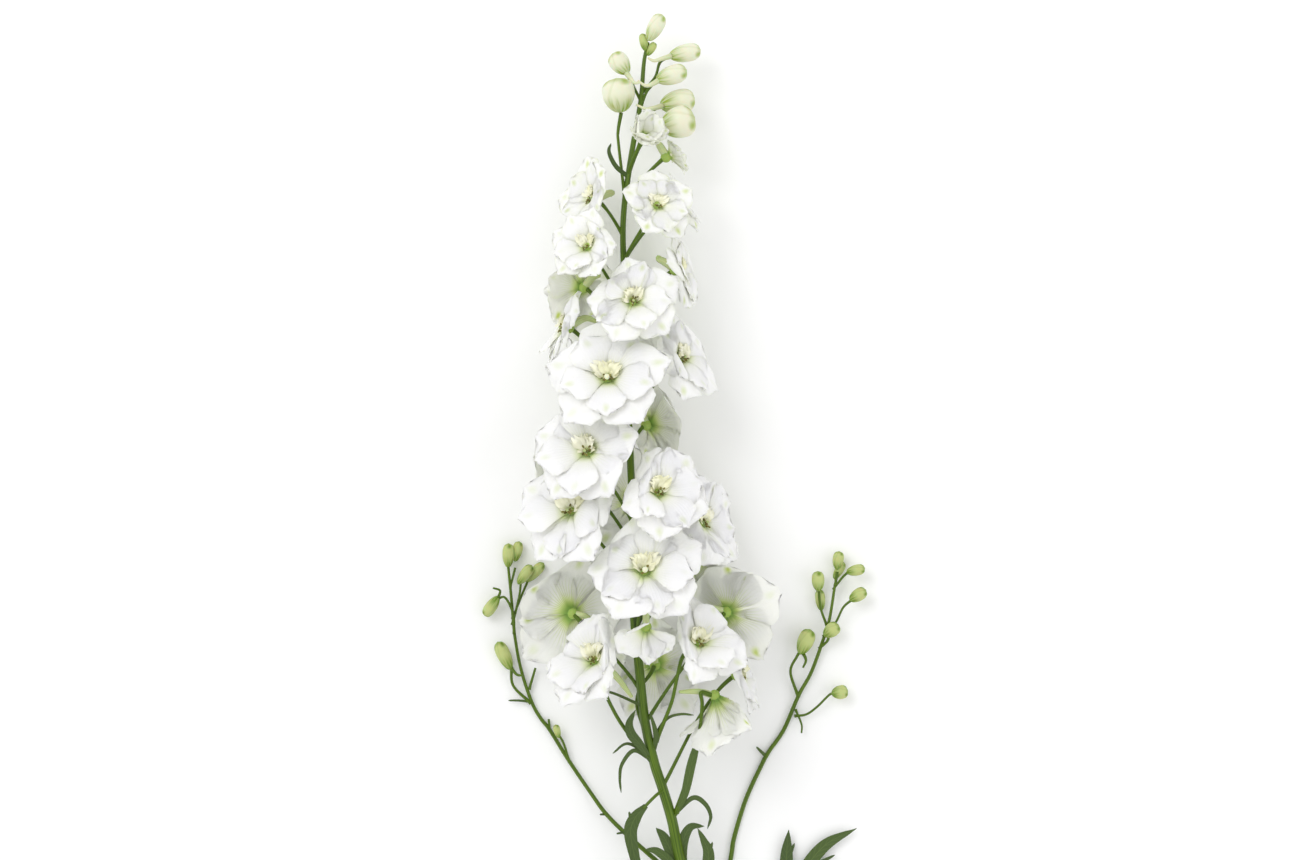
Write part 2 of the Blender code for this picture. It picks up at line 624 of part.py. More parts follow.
def left_shoot():
    """The side shoot on the left, with its buds and bracts."""
    shoot = Green("left_side_shoot")
    line = [
        (682.5, 889, 16.0), (668, 876, 12.5), (649, 860, 10), (623.7, 838, 8), (604.7, 819, 6.5),
        (590.6, 800, 5), (567, 765.5, 3.6), (548, 735, 3.2), (538.6, 723, 3.2), (529.4, 706, 3.4),
        (518.5, 672, 4), (512, 635, 5), (509.4, 603, 6), (506, 569, 6),
    ]
    shoot.stalk(line, [1.25, 1.15, 1.0, 0.95, 0.8, 0.7], 12, 1)
    shoot.bud((506, 568, 6), (506.5, 545, 6.5), 6.0)
    shoot.stalk([(508, 590, 6), (513, 570, 4.5)], [0.6, 0.6], 3)
    shoot.bud((513, 562, 4.2), (517, 543, 4.2), 5.2)
    shoot.stalk([(510, 628, 5), (517, 600, 6.5), (519, 584, 7)], [0.7, 0.6, 0.6], 4)
    shoot.bud((517, 585, 7), (530, 567, 8), 5.6)
    shoot.stalk([(510, 622, 5.5), (520, 597, 4), (526, 583, 3.6)], [0.6, 0.6, 0.6], 4)
    shoot.bud((525, 583, 3.8), (542, 565, 4), 5.4)
    shoot.stalk([(512, 637, 5), (511, 616, 8), (503, 600, 9), (495, 602, 8)], [0.7, 0.7, 0.6, 0.6], 5)
    shoot.bud((495.5, 600, 8), (482, 619, 5), 6.0)
    shoot.stalk([(495, 602, 8), (498, 593, 10), (491, 590, 11)], [0.8, 0.6, 0.5], 3)
    shoot.stalk([(529, 708, 3.4), (511, 690, 4), (509, 670, 5)], [0.8, 0.7, 0.8], 4)
    shoot.bud((508, 672, 5), (495, 645, 6), 7.0)
    shoot.stalk([(509, 672, 5), (515, 678, 8), (521, 679, 9)], [0.9, 0.7, 0.5], 3)
    shoot.stalk([(527, 694, 3.5), (533.5, 672, 3.5)], [0.7, 0.6], 3)
    shoot.stalk([(548, 736, 3.2), (547, 724, 3.5)], [0.7, 0.6], 2)
    shoot.stalk([(568, 768, 3.6), (562, 748, 5), (556, 738, 6)], [0.7, 0.6, 0.6], 4)
    shoot.bud((557, 741, 5.8), (554, 729, 6.4), 3.6)
    shoot.leaf([(526, 706, 3.4), (516, 705, 4), (506, 705, 4)], [1.4, 1.2, 0.9], 3, 2, 0.0)
    shoot.leaf([(605, 820, 6.5), (599, 820, 8)], [1.4, 0.9], 2, 2, 0.0)
    shoot.leaf([(623, 838, 9), (616, 839, 10)], [1.4, 0.9], 2, 2, 0.0)
    return shoot


def right_shoot():
    """The side shoot on the right, with its buds and bracts."""
    shoot = Green("right_side_shoot")
    line = [
        (713.5, 1001, 7.5), (719, 960, 4.5), (727, 900, 2.8), (733, 860, 2.4), (736, 843, 2.3),
        (747.4, 806, 2.2), (762.6, 772.6, 2.2), (771, 757, 2.2), (786, 735, 2.5), (801, 700, 3.4),
        (814, 676, 4), (826.3, 642, 5), (832.4, 621.6, 5.5), (838, 586, 6),
    ]
    shoot.stalk(line, [1.3, 1.2, 1.1, 1.05, 0.9, 0.7], 12, 1)
    shoot.bud((840, 570, 6), (842, 553, 6.5), 5.6)
    shoot.stalk([(838, 588, 6), (840, 574, 6)], [0.7, 0.8], 2)
    shoot.bud((838, 580, 4), (847, 564, 3.5), 4.6)
    shoot.stalk([(836, 592, 5.6), (845, 580, 7), (851, 574, 8)], [0.6, 0.6, 0.7], 4)
    shoot.bud((851, 574, 8), (868, 570, 9), 5.6)
    shoot.stalk([(830, 630, 5.2), (823, 610, 7), (821, 590, 8)], [0.7, 0.6, 0.7], 4)
    shoot.bud((821, 592, 8), (820, 573, 9), 6.4)
    shoot.bud((824, 612, 4), (822, 592, 3.4), 5.0)
    shoot.stalk([(826, 640, 5), (838, 626, 7), (846, 610, 8), (855, 602, 8)], [0.7, 0.6, 0.6, 0.7], 4)
    shoot.bud((854, 602, 8), (869, 592, 9), 6.4)
    shoot.stalk([(822, 652, 4.6), (830, 644, 7), (831, 638, 8)], [0.7, 0.7, 0.8], 4)
    shoot.bud((828, 638, 8), (841, 627, 9), 7.2)
    shoot.stalk([(801, 702, 3.4), (792.7, 676, 5), (799, 660, 7), (803, 654, 7.5)],
                [0.8, 0.7, 0.7, 0.9], 5)
    shoot.bud((803, 656, 7.5), (812.5, 632, 9), 8.2)
    shoot.stalk([(804, 654, 7), (808, 663, 10), (805, 671, 10)], [1.0, 0.7, 0.5], 3)
    shoot.stalk([(797, 721, 2.8), (809, 719, 4), (820, 711, 5), (832, 699, 6), (838, 697, 6.5)],
                [0.7, 0.6, 0.6, 0.6, 0.8], 5)
    shoot.bud((836, 697.5, 6.5), (851, 694.5, 7), 7.0)
    shoot.stalk([(798, 714, 3), (804, 729, 4.5), (804, 738, 5)], [0.6, 0.5, 0.45], 3)
    shoot.leaf([(768, 762, 2.4), (763, 757, 3.5), (758, 752, 4)], [1.8, 1.6, 0.9], 3, 2, 0.0)
    return shoot


def material(name, colour, rough):
    """A plain material."""
    item = bpy.data.materials.new(name)
    item.use_nodes = True
    shader = item.node_tree.nodes["Principled BSDF"]
    shader.inputs["Base Color"].default_value = (*colour, 1.0)
    shader.inputs["Roughness"].default_value = rough
    item.diffuse_color = (*colour, 1.0)
    return item


def main():
    """Builds the whole spike."""
    for item in list(bpy.data.objects):
        bpy.data.objects.remove(item)
    group = bpy.data.collections.new("delphinium_spike")
    bpy.context.scene.collection.children.link(group)
    blooms = []
    for across, down, height, facing, length, *_ in BLOOMS:
        blooms.append(Bloom(place(across, down, height), facing, length * MM, 0.0))
    buds = []
    for base, tip, width, _ in BUDS:
        ends = place(*base), place(*tip)
        room = max(width * MM, 0.75 * np.linalg.norm(ends[1] - ends[0])) / 2
        buds.append(Bloom((ends[0] + ends[1]) / 2, ends[1] - ends[0], room, room))
    set_walls(blooms, buds)

    stem = Green("main_stem")
    stem.stalk(STEM, [spot[3] for spot in STEM], 17, 1)
    for number, bloom in enumerate(blooms, 1):
        if number in OWN_STALKS:
            path = places(OWN_STALKS[number])
            end = bloom.heart - unit(bloom.heart - path[-1]) * (CORE + 0.6 * MM)
            path = smooth(np.vstack([path, end]), 6)
            stem.stalk_at(path, [1.2, 0.95, 0.9, 1.0, 1.1], 5)
        else:
            stem.stalk_at(stalk_path(bloom), [1.0, 0.85, 0.8, 1.0], 4)
    for base, tip, width, spots in BUDS:
        if spots:
            first, last = place(*base), place(*tip)
            end = first - unit(last - first) * 0.6 * MM
            path = np.vstack([places(spots), end])
            stem.stalk_at(path, [0.8, 0.7, 0.8], len(path))
    add_leaves(stem)
    add_spurs_at_top(stem)
    greens = [stem, left_shoot(), right_shoot()]

    made = []
    for number, (bloom, facts) in enumerate(zip(blooms, BLOOMS), 1):
        opening, roll, outer, inner = facts[5:]
        spur = place(*OWN_SPURS[number]) if number in OWN_SPURS else None
        name = f"bloom_{number:02d}"
        draw = random.Random(SEED + number)
        made.append(bloom_body(name, bloom, opening, roll, outer, inner, spur, group, draw))
    for number, (base, tip, width, _) in enumerate(BUDS, 1):
        mesh = bud_mesh("bud", place(*base), place(*tip), width * MM, 10, 5)
        made.append(new_object(f"bud_{number:02d}", mesh, group))

    for green in greens:
        for part in green.parts:
            cutter = green.make(part, group, GAP)
            for item in made:
                if touches(item, cutter):
                    copy = new_object("cutter", cutter.data.copy(), group)
                    join(item, [copy], "DIFFERENCE")
            mesh = cutter.data
            bpy.data.objects.remove(cutter)
            bpy.data.meshes.remove(mesh)
    bodies = [green.build(group) for green in greens]

    white = material("sepal_white", (0.88, 0.88, 0.84), 0.6)
    ivory = material("bud_ivory", (0.72, 0.76, 0.45), 0.55)
    green = material("stem_green", (0.10, 0.20, 0.05), 0.5)
    for item in made:
        finish = white if item.name.startswith("bloom") else ivory
        item.data.materials.clear()
        item.data.materials.append(finish)
    for item in bodies:
        item.data.materials.clear()
        item.data.materials.append(green)
        item.data.shade_smooth()


main()
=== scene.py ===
"""Looks of a white delphinium flower spike, cut and laid on its back.

Places are given on a layout in steps of half a millimetre, counted across to the right and down
from the tip, with the height over the table in millimetres.
"""

import math
import random

import bpy
import numpy as np
from bpy.props import FloatProperty, FloatVectorProperty, IntProperty, PointerProperty
from bpy.types import Operator, Panel, PropertyGroup
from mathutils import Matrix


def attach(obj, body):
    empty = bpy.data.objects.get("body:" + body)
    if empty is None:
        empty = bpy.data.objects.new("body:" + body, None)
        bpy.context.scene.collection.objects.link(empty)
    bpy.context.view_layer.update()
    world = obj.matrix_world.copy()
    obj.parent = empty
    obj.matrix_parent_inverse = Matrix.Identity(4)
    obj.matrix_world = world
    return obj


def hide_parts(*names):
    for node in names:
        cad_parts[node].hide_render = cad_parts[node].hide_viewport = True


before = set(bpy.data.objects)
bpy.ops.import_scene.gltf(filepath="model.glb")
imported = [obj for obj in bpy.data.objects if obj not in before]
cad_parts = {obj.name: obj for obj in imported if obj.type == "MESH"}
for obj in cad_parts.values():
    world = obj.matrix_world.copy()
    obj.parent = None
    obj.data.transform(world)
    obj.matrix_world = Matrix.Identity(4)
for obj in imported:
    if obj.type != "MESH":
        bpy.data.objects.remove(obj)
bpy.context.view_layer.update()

bl_info = {
    "name": "Delphinium Spike",
    "version": (1, 0, 0),
    "blender": (4, 5, 0),
    "location": "3D Viewport > Sidebar > Delphinium",
    "description": "Dresses a delphinium spike with veined sepals, buds, stems and leaves",
    "category": "Object",
}

STEP = 0.0005
MM = 0.001
MID_ACROSS = 678.46
MID_DOWN = 556.69
SEED = 7
WALL_HARD = 0.5 * MM
WALL_SOFT = 5.0 * MM
TABLE_HARD = 0.4 * MM
TABLE_SOFT = 1.6 * MM
STEM_ROOM = 3.2 * MM
NEIGHBOUR = 85 * MM
ORDER_AHEAD = 0.42
ORDER_ASIDE = 0.9
PASSES = 14
SINK = 0.75
SHINGLE = 0.82
CORE = 3.5 * MM
SPUR_LENGTH = 17.0 * MM

UPWARD = np.array([0.0, 0.0, 1.0])
LEAF_FOLD = 0.12
LEAF_THICK = 0.5 * MM
BEE_THICK = 0.4 * MM
FOOT_SWELL = np.array([1.35, 1.2, 1.08])
OUTER_WIDTH = 0.43
INNER_WIDTH = 0.35
WIDEST = 0.62

STEM = [
    (648, 40, 23, 0.8), (644, 60, 24, 0.95), (641.5, 92, 25.5, 1.1), (639, 110, 26.3, 1.2),
    (629, 169, 28.5, 1.4), (623, 225, 30, 1.4), (625, 300, 32, 1.5), (627, 380, 33.5, 1.6),
    (630, 450, 34, 1.7), (633.5, 540, 34, 1.8), (634, 615, 33.5, 2.0), (639.4, 671, 32, 2.2),
    (645, 722, 30, 2.3), (654, 763, 28, 2.4), (663, 791, 26.5, 2.45), (672, 822, 24.5, 2.5),
    (678, 852, 22.5, 2.55), (687, 893, 19.5, 2.6), (699, 960, 13.5, 2.7),
    (709, 1020, 8.5, 2.8), (722, 1100, 3.2, 2.9),
]

# Blooms from the top: across, down, height of the heart, facing, length in mm, opening from 0 to 1,
# roll in degrees, outer sepals, and how green the sepals are.
BLOOMS = [
    (643, 138, 41, (0.35, 0.45, 0.82), 16, 0.25, 10, 5, 1.0),
    (667, 156, 29, (0.85, 0.35, -0.20), 15, 0.40, 0, 5, 1.0),
    (595, 199, 32, (-0.85, 0.32, 0.30), 24, 0.60, 20, 5, 0.9),
    (656, 207, 46, (0.40, 0.30, 0.85), 21, 0.85, 0, 5, 0.8),
    (681, 196, 31, (0.90, 0.25, 0.10), 20, 0.75, 30, 5, 0.9),
    (589, 249, 50, (-0.45, 0.35, 0.82), 22, 0.85, 0, 5, 0.5),
    (633, 304, 59, (0.10, 0.38, 0.92), 26, 1.00, 12, 5, 0.4),
    (676, 270, 36, (0.95, 0.15, 0.20), 24, 0.85, 0, 5, 0.6),
    (568, 328, 39, (-0.92, 0.20, 0.25), 26, 0.90, 15, 5, 0.4),
    (609, 380, 62, (-0.12, 0.42, 0.90), 33, 1.00, 0, 5, 0.15),
    (678, 358, 47, (0.75, 0.25, 0.55), 28, 0.90, 10, 5, 0.3),
    (647, 425, 25, (0.75, 0.15, -0.60), 28, 0.90, 0, 5, 0.3),
    (590, 452, 57, (-0.42, 0.35, 0.82), 32, 0.95, 5, 5, 0.1),
    (656, 492, 61, (0.45, 0.35, 0.82), 29, 0.90, 25, 5, 0.1),
    (574, 510, 50, (-0.52, 0.28, 0.78), 33, 0.95, 0, 5, 0.1),
    (644, 570, 63, (0.10, 0.48, 0.88), 34, 1.00, 8, 5, 0.1),
    (699, 522, 42, (0.85, 0.25, 0.35), 29, 0.85, 0, 5, 0.1),
    (572, 615, 20, (-0.42, 0.05, -0.85), 34, 0.90, 12, 5, 0.1),
    (727, 613, 24, (0.45, 0.02, -0.85), 33, 0.90, 0, 5, 0.1),
    (597, 660, 46, (-0.55, 0.45, 0.62), 31, 0.80, 18, 5, 0.1),
    (655, 668, 11, (0.05, -0.10, -1.00), 32, 0.90, 0, 5, 0.1),
    (715, 696, 34, (0.35, -0.75, -0.30), 34, 0.35, 20, 5, 0.1),
    (738, 676, 28, (0.90, 0.10, 0.15), 24, 0.80, 0, 5, 0.1),
    (697, 642, 50, (0.40, 0.50, 0.75), 29, 0.80, 10, 5, 0.1),
    (646, 626, 48, (-0.05, -0.60, 0.80), 22, 0.30, 0, 3, 0.3),
    (583, 287, 24, (-0.70, 0.10, -0.70), 24, 0.90, 0, 5, 0.5),
    (618, 345, 7.0, (-0.10, 0.10, -1.00), 28, 0.90, 0, 5, 0.3),
    (573, 475, 18.5, (-0.75, 0.00, -0.65), 29, 0.90, 0, 5, 0.2),
    (632, 505, 6.0, (0.00, 0.10, -1.00), 30, 0.90, 0, 5, 0.2),
    (692, 562, 16.5, (0.60, 0.10, -0.80), 29, 0.90, 0, 5, 0.2),
]
OWN_WALLS = [
    (18, 538, 580, 20, (0.55, -0.83, 0.0)),
    (18, 512, 620, 9.5, (0.25, 0.0, 1.0)),
    (20, 540, 724, 7.0, (0.15, 0.0, 1.0)),
]
OWN_SPURS = {18: (605, 631, 30), 19: (687, 612, 32), 20: (632, 696, 42), 22: (679, 691, 40)}
OWN_STALKS = {
    22: [(676, 815, 25), (692, 765, 30), (699, 735, 33), (702, 705, 37), (701, 692, 39)],
    24: [(656, 742, 29), (664, 722, 34), (672, 700, 39), (678, 672, 42), (683, 655, 44)],
    20: [(648, 757, 29), (625, 729, 34), (613, 709, 37), (605, 690, 40), (605, 675, 42)],
    21: [(646, 735, 29), (637, 707, 27), (640, 690, 24), (650, 676, 22)],
}
BUDS = [
    ((648, 39, 25), (662, 12.6, 27), 8.0, None),
    ((669, 54, 22), (701, 47, 21), 9.0, [(642.7, 90, 25), (655, 75, 22.5), (660, 60, 22)]),
    ((656, 79, 27), (687, 69, 29), 9.6, [(641, 104, 26), (647, 90, 27)]),
    ((628, 72, 25), (612, 52, 26), 9.8, [(641, 100, 26), (634, 86, 25)]),
    ((621, 112, 29), (616, 77.5, 31), 16.2, [(625, 200, 29.5), (618.5, 144, 29), (618, 130, 29)]),
    ((660, 104, 22), (695, 95, 19), 12.2, [(637, 128, 26.5), (648, 112, 23.5)]),
    ((661, 127, 30), (695, 117, 32), 15.8, [(629, 172, 28.8), (640, 146, 29), (652, 133, 29)]),
]

BUD_SPURS = {
    2: [(671, 54, 23.5), (662, 57, 26), (654, 59.5, 28), (648, 57, 29)],
    3: [(659, 79, 28), (651, 84, 30.5), (645, 85, 31.5), (638, 80, 31)],
    4: [(626, 71, 26), (630, 77, 29), (634, 82, 30.5), (640, 82, 31)],
    6: [(663, 104, 24), (652, 107.5, 29), (645, 108, 31), (636, 104, 31)],
}
# Places of the finishes in the material lists of a bloom and of a green body.
SEPAL, BEE, ANTHER, FILAMENT, SPUR = range(5)
STALK, LEAF, BUD = range(3)
# Lean of a sepal off the facing axis in degrees, at its foot and at its tip: when the bloom is
# closed, and how much more when it is fully open.
OUTER_LEAN = ((18, 30), (52, 46))
INNER_LEAN = ((18, 27), (42, 44))
OUTER_TURNS = {3: (210, 270, 330), 5: (90, 162, 234, 306, 18)}
BEE_PETALS = ((42, 0.40), (75, 0.33), (107, 0.34), (138, 0.40), (8, 0.24), (172, 0.24))
BEE_WIDTH = 0.27
CUPS = {1: 26.0}
FULL_EYES = (10, 16)

FLOOR_SIZE = 6.0
# Lights: name, place, size, and share of the key light's power.
LIGHTS = (
    ("key", (-1.1, 1.0, 1.7), 1.4, 1.0),
    ("fill", (1.5, -0.4, 1.3), 1.6, 0.35),
)
LIGHT_AIM = np.array([0.0, 0.06, 0.03])
VIEW_CENTRE = (650, 430, 34)
VIEW_WIDTH = 1300 * STEP
SENSOR = 36.0


class SpikeSettings(PropertyGroup):
    """Sizes, strengths and colours that the operators read."""

    ruffle: FloatProperty(name="Ruffle", description="Waves along the edges of the sepals",
                          default=1.0, min=0.0, max=3.0)
    skin: FloatProperty(name="Skin", description="Thickness of a sepal at its middle",
                        default=0.00032, unit="LENGTH")
    inner: IntProperty(name="Inner Sepals", description="Sepals in the inner ring of a bloom",
                       default=5, min=0, max=8)
    stamens: IntProperty(name="Stamens", description="Stamens in the eye of a bloom",
                         default=16, min=0, max=40)
    ridge: FloatProperty(name="Stem Ridge", description="Depth of the ridges along a stem",
                         default=0.05, subtype="FACTOR", min=0.0, max=0.3)
    lens: FloatProperty(name="Lens", description="Focal length of the camera in mm",
                        default=100.0, min=20.0, max=300.0)
    key: FloatProperty(name="Key Light", description="Power of the large light",
                       default=14.5, min=0.0, unit="POWER")
    sky: FloatProperty(name="Sky", description="Strength of the even light from all sides",
                       default=0.88, min=0.0, max=4.0)
    sepal: FloatVectorProperty(name="Sepal", description="Colour of the front of a sepal",
                               subtype="COLOR", default=(0.925, 0.918, 0.924), min=0.0, max=1.0)
    claw: FloatVectorProperty(name="Claw", description="Colour of a sepal's foot and its veins",
                              subtype="COLOR", default=(0.56, 0.68, 0.17), min=0.0, max=1.0)
    bud: FloatVectorProperty(name="Bud", description="Colour of a bud between its green ends",
                             subtype="COLOR", default=(0.77, 0.78, 0.60), min=0.0, max=1.0)
    stem: FloatVectorProperty(name="Stem", description="Colour of the pale streaks of a stem",
                              subtype="COLOR", default=(0.108, 0.185, 0.010), min=0.0, max=1.0)
    leaf: FloatVectorProperty(name="Leaf", description="Colour of the palest leaf blades",
                              subtype="COLOR", default=(0.055, 0.098, 0.009), min=0.0, max=1.0)


def place(across, down, height):
    """A point of the layout in metres."""
    return np.array([
        (across - MID_ACROSS) * STEP,
        (MID_DOWN - down) * STEP,
        (height - SINK) * MM,
    ])


def places(spots):
    """Several points of the layout in metres."""
    return np.array([place(*spot[:3]) for spot in spots])


def unit(vector):
    """The same direction with length one, for one vector or an array of them."""
    vector = np.asarray(vector, float)
    return vector / np.maximum(np.linalg.norm(vector, axis=-1, keepdims=True), 1e-12)


def smooth(points, count):
    """Evenly numbered points on a smooth curve through the given ones."""
    points = np.asarray(points, float)
    first = 2 * points[0] - points[1]
    last = 2 * points[-1] - points[-2]
    ends = np.vstack([first, points, last])
    spots = np.linspace(0, len(points) - 1, count)
    index = np.minimum(spots.astype(int), len(points) - 2)
    part = (spots - index)[:, None]
    a, b, c, d = (ends[index + k] for k in range(4))
    cubic = 3 * (b - c) + d - a
    square = 2 * a - 5 * b + 4 * c - d
    return b + 0.5 * part * (c - a + part * (square + part * cubic))


STEM_LINE = smooth(places(STEM), 400)


def stem_at(y):
    """The centre of the main stem at one Y."""
    x = np.interp(-y, -STEM_LINE[:, 1], STEM_LINE[:, 0])
    z = np.interp(-y, -STEM_LINE[:, 1], STEM_LINE[:, 2])
    return np.array([x, y, z])


def outward(point):
    """Direction from the main stem to a point, square to Y, and the distance."""
    away = point - stem_at(point[1])
    reach = np.hypot(away[0], away[2])
    return np.array([away[0], 0.0, away[2]]) / max(reach, 1e-9), reach


class Bloom:
    """Place, frame and walls of one bloom or bud."""

    def __init__(self, heart, facing, length, room=0.0):
        self.heart = heart
        self.facing = unit(facing)
        lift = np.array([0.0, 1.0, 0.0])
        if abs(self.facing[1]) > 0.9:
            lift = np.array([0.0, 0.0, 1.0])
        self.up = unit(lift - self.facing * (lift @ self.facing))
        self.right = np.cross(self.up, self.facing)
        self.length = length
        self.room = room
        self.walls = [(np.zeros(3), UPWARD, TABLE_HARD, TABLE_SOFT)]

    def away(self, angle):
        """Direction from the heart at an angle round the facing axis, and the one across it."""
        out = self.right * math.cos(angle) + self.up * math.sin(angle)
        side = self.up * math.cos(angle) - self.right * math.sin(angle)
        return out, side


def set_walls(blooms, buds):
    """Gives each bloom flat walls towards the stem, its neighbours and the buds.

    The wall between two blooms lies across the line between their hearts, at a place that their
    lengths share out. The more alike the two face, the more it leans like a roof tile, so that the
    bloom nearer the viewer and the tip lies over the other.
    """
    for bloom in blooms:
        out, _ = outward(bloom.heart)
        centre = stem_at(bloom.heart[1])
        bloom.walls.append((centre + out * STEM_ROOM, out, WALL_HARD, WALL_SOFT))
    for index, one in enumerate(blooms):
        for two in blooms[index + 1:]:
            between = one.heart - two.heart
            if np.linalg.norm(between) > NEIGHBOUR:
                continue
            alike = max(float(one.facing @ two.facing), 0.0)
            mean = unit(one.facing + two.facing + np.array([0.0, 1e-6, 0.0]))
            if abs(mean[2]) > 0.3:
                order = np.array([0.0, ORDER_AHEAD, math.copysign(ORDER_ASIDE, mean[2])])
            else:
                order = np.array([math.copysign(ORDER_ASIDE, mean[0]), ORDER_AHEAD, 0.0])
            over, under = (one, two) if between @ order > 0 else (two, one)
            between = over.heart - under.heart
            share = under.length / (over.length + under.length)
            middle = under.heart + between * share
            weight = SHINGLE * math.sqrt(alike)
            normal = unit((1 - weight) * unit(between) + weight * mean)
            over.walls.append((middle, normal, WALL_HARD, WALL_SOFT))
            under.walls.append((middle, -normal, WALL_HARD, WALL_SOFT))
    for bloom in blooms:
        for bud in buds:
            line = unit(bloom.heart - bud.heart)
            edge = bud.heart + line * (bud.room + 0.5 * MM)
            bloom.walls.append((edge, line, WALL_HARD, WALL_SOFT))
    for number, across, down, height, inside in OWN_WALLS:
        spot = place(across, down, height)
        blooms[number - 1].walls.append((spot, unit(inside), WALL_HARD, WALL_SOFT))


def settle(points, walls, most=WALL_SOFT, extra=0.0):
    """Presses points softly away from flat walls, and in the end fully inside them."""
    flat = points.reshape(-1, 3).copy()
    for spot, normal, hard, soft in walls:
        hard = hard + extra
        soft = max(min(soft, most), hard + 0.5 * MM)
        depth = (flat - spot) @ normal
        near = depth < soft
        eased = hard + (soft - hard) * np.exp(np.minimum(depth - soft, 0) / (soft - hard))
        flat += np.where(near, eased - depth, 0.0)[:, None] * normal
    for _ in range(PASSES):
        for spot, normal, hard, _ in walls:
            depth = (flat - spot) @ normal
            flat += np.maximum(hard + extra - depth, 0.0)[:, None] * normal
    return flat.reshape(points.shape)


def layout():
    """All blooms and buds with their walls."""
    blooms = []
    for across, down, height, facing, length, *_ in BLOOMS:
        blooms.append(Bloom(place(across, down, height), facing, length * MM))
    buds = []
    for base, tip, width, _ in BUDS:
        ends = place(*base), place(*tip)
        room = max(width * MM, 0.75 * np.linalg.norm(ends[1] - ends[0])) / 2
        buds.append(Bloom((ends[0] + ends[1]) / 2, ends[1] - ends[0], room, room))
    set_walls(blooms, buds)
    return blooms, buds


class Sheet:
    """Grids of points gathered into one mesh, with the facts that its materials read."""

    def __init__(self):
        self.points, self.quads, self.finish = [], [], []
        self.uvs, self.facts = [], []
        self.count = 0

    def add(self, grid, u, v, finish=0, facts=(0.0, 0.0, 0.0), closed=False, flip=False):
        """One grid: u and v for the UV map, and back, seed and green for the materials."""
        rows, columns = grid.shape[:2]
        index = np.arange(rows * columns).reshape(rows, columns) + self.count
        if closed:
            index = np.concatenate([index, index[:, :1]], axis=1)
        quads = np.stack([index[:-1, :-1], index[:-1, 1:], index[1:, 1:], index[1:, :-1]], axis=-1)
        quads = quads.reshape(-1, 4)
        self.quads.append(quads[:, ::-1] if flip else quads)
        self.finish.append(np.full(len(quads), finish))
        self.points.append(grid.reshape(-1, 3))
        shape = (rows, columns)
        self.uvs.append(np.stack([np.broadcast_to(u, shape), np.broadcast_to(v, shape)], -1)
                        .reshape(-1, 2))
        rows_of_facts = [np.broadcast_to(fact, shape).ravel() for fact in facts]
        self.facts.append(np.stack(rows_of_facts, -1))
        self.count += rows * columns

    def build(self, name, materials):
        """The gathered grids as one smooth object."""
        points = np.concatenate(self.points).astype(np.float32)
        points[:, 2] = np.maximum(points[:, 2], 0.0)
        quads = np.concatenate(self.quads).astype(np.int32)
        uvs = np.concatenate(self.uvs).astype(np.float32)
        facts = np.concatenate(self.facts).astype(np.float32)
        mesh = bpy.data.meshes.new(name)
        mesh.vertices.add(len(points))
        mesh.vertices.foreach_set("co", points.ravel())
        mesh.loops.add(quads.size)
        mesh.loops.foreach_set("vertex_index", quads.ravel())
        mesh.polygons.add(len(quads))
        mesh.polygons.foreach_set("loop_start", np.arange(len(quads), dtype=np.int32) * 4)
        mesh.polygons.foreach_set("material_index", np.concatenate(self.finish).astype(np.int32))
        mesh.update(calc_edges=True)
        layer = mesh.uv_layers.new(name="UVMap")
        layer.data.foreach_set("uv", uvs[quads.ravel()].ravel())
        for column, label in enumerate(("back", "seed", "green")):
            values = mesh.attributes.new(label, "FLOAT", "POINT")
            values.data.foreach_set("value", np.ascontiguousarray(facts[:, column]))
        mesh.shade_smooth()
        for item in materials:
            mesh.materials.append(item)
        piece = bpy.data.objects.new(name, mesh)
        bpy.context.scene.collection.objects.link(piece)
        return piece


def skins(sheet, middle, thick, s, t, finish, seed, green):
    """Adds both faces of a thin blade, which meet at its edges."""
    normal = unit(np.cross(np.gradient(middle, axis=0), np.gradient(middle, axis=1)))
    half = thick / 2 * np.clip(1.02 - t ** 4, 0, 1) * np.clip(1.02 - s ** 8, 0, 1)
    u = (t + 1) / 2
    front = middle + normal * half[..., None]
    back = middle - normal * half[..., None]
    sheet.add(front, u, s, finish, (0.0, seed, green), flip=True)
    sheet.add(back, u, s, finish, (1.0, seed, green))


def follow(bend, reach, length, start):
    """Walks along a midline that leans by the angles in bend, in even steps.

    Returns the height along the facing axis, the distance out from it and the lean at each reach.
    """
    fine = np.linspace(0.0, 1.0, len(bend))
    forward = np.concatenate([[0], np.cumsum(np.cos(bend))[:-1]]) / len(bend)
    sideways = np.concatenate([[0], np.cumsum(np.sin(bend))[:-1]]) / len(bend)
    high = np.interp(reach, fine, forward) * length
    far = np.interp(reach, fine, sideways) * length + start
    return high, far, np.interp(reach, fine, bend)


def blade(bloom, angle, midline, front, wide):
    """Points on both sides of a midline: lifted square to it, spread by wide, then pressed in."""
    high, far, lean = midline
    out, side = bloom.away(angle)
    toward = high + np.sin(lean) * front
    off = far - np.cos(lean) * front
    grid = (
        bloom.heart
        + toward[..., None] * bloom.facing
        + off[..., None] * out
        + wide[..., None] * side
    )
    return settle(grid, bloom.walls)


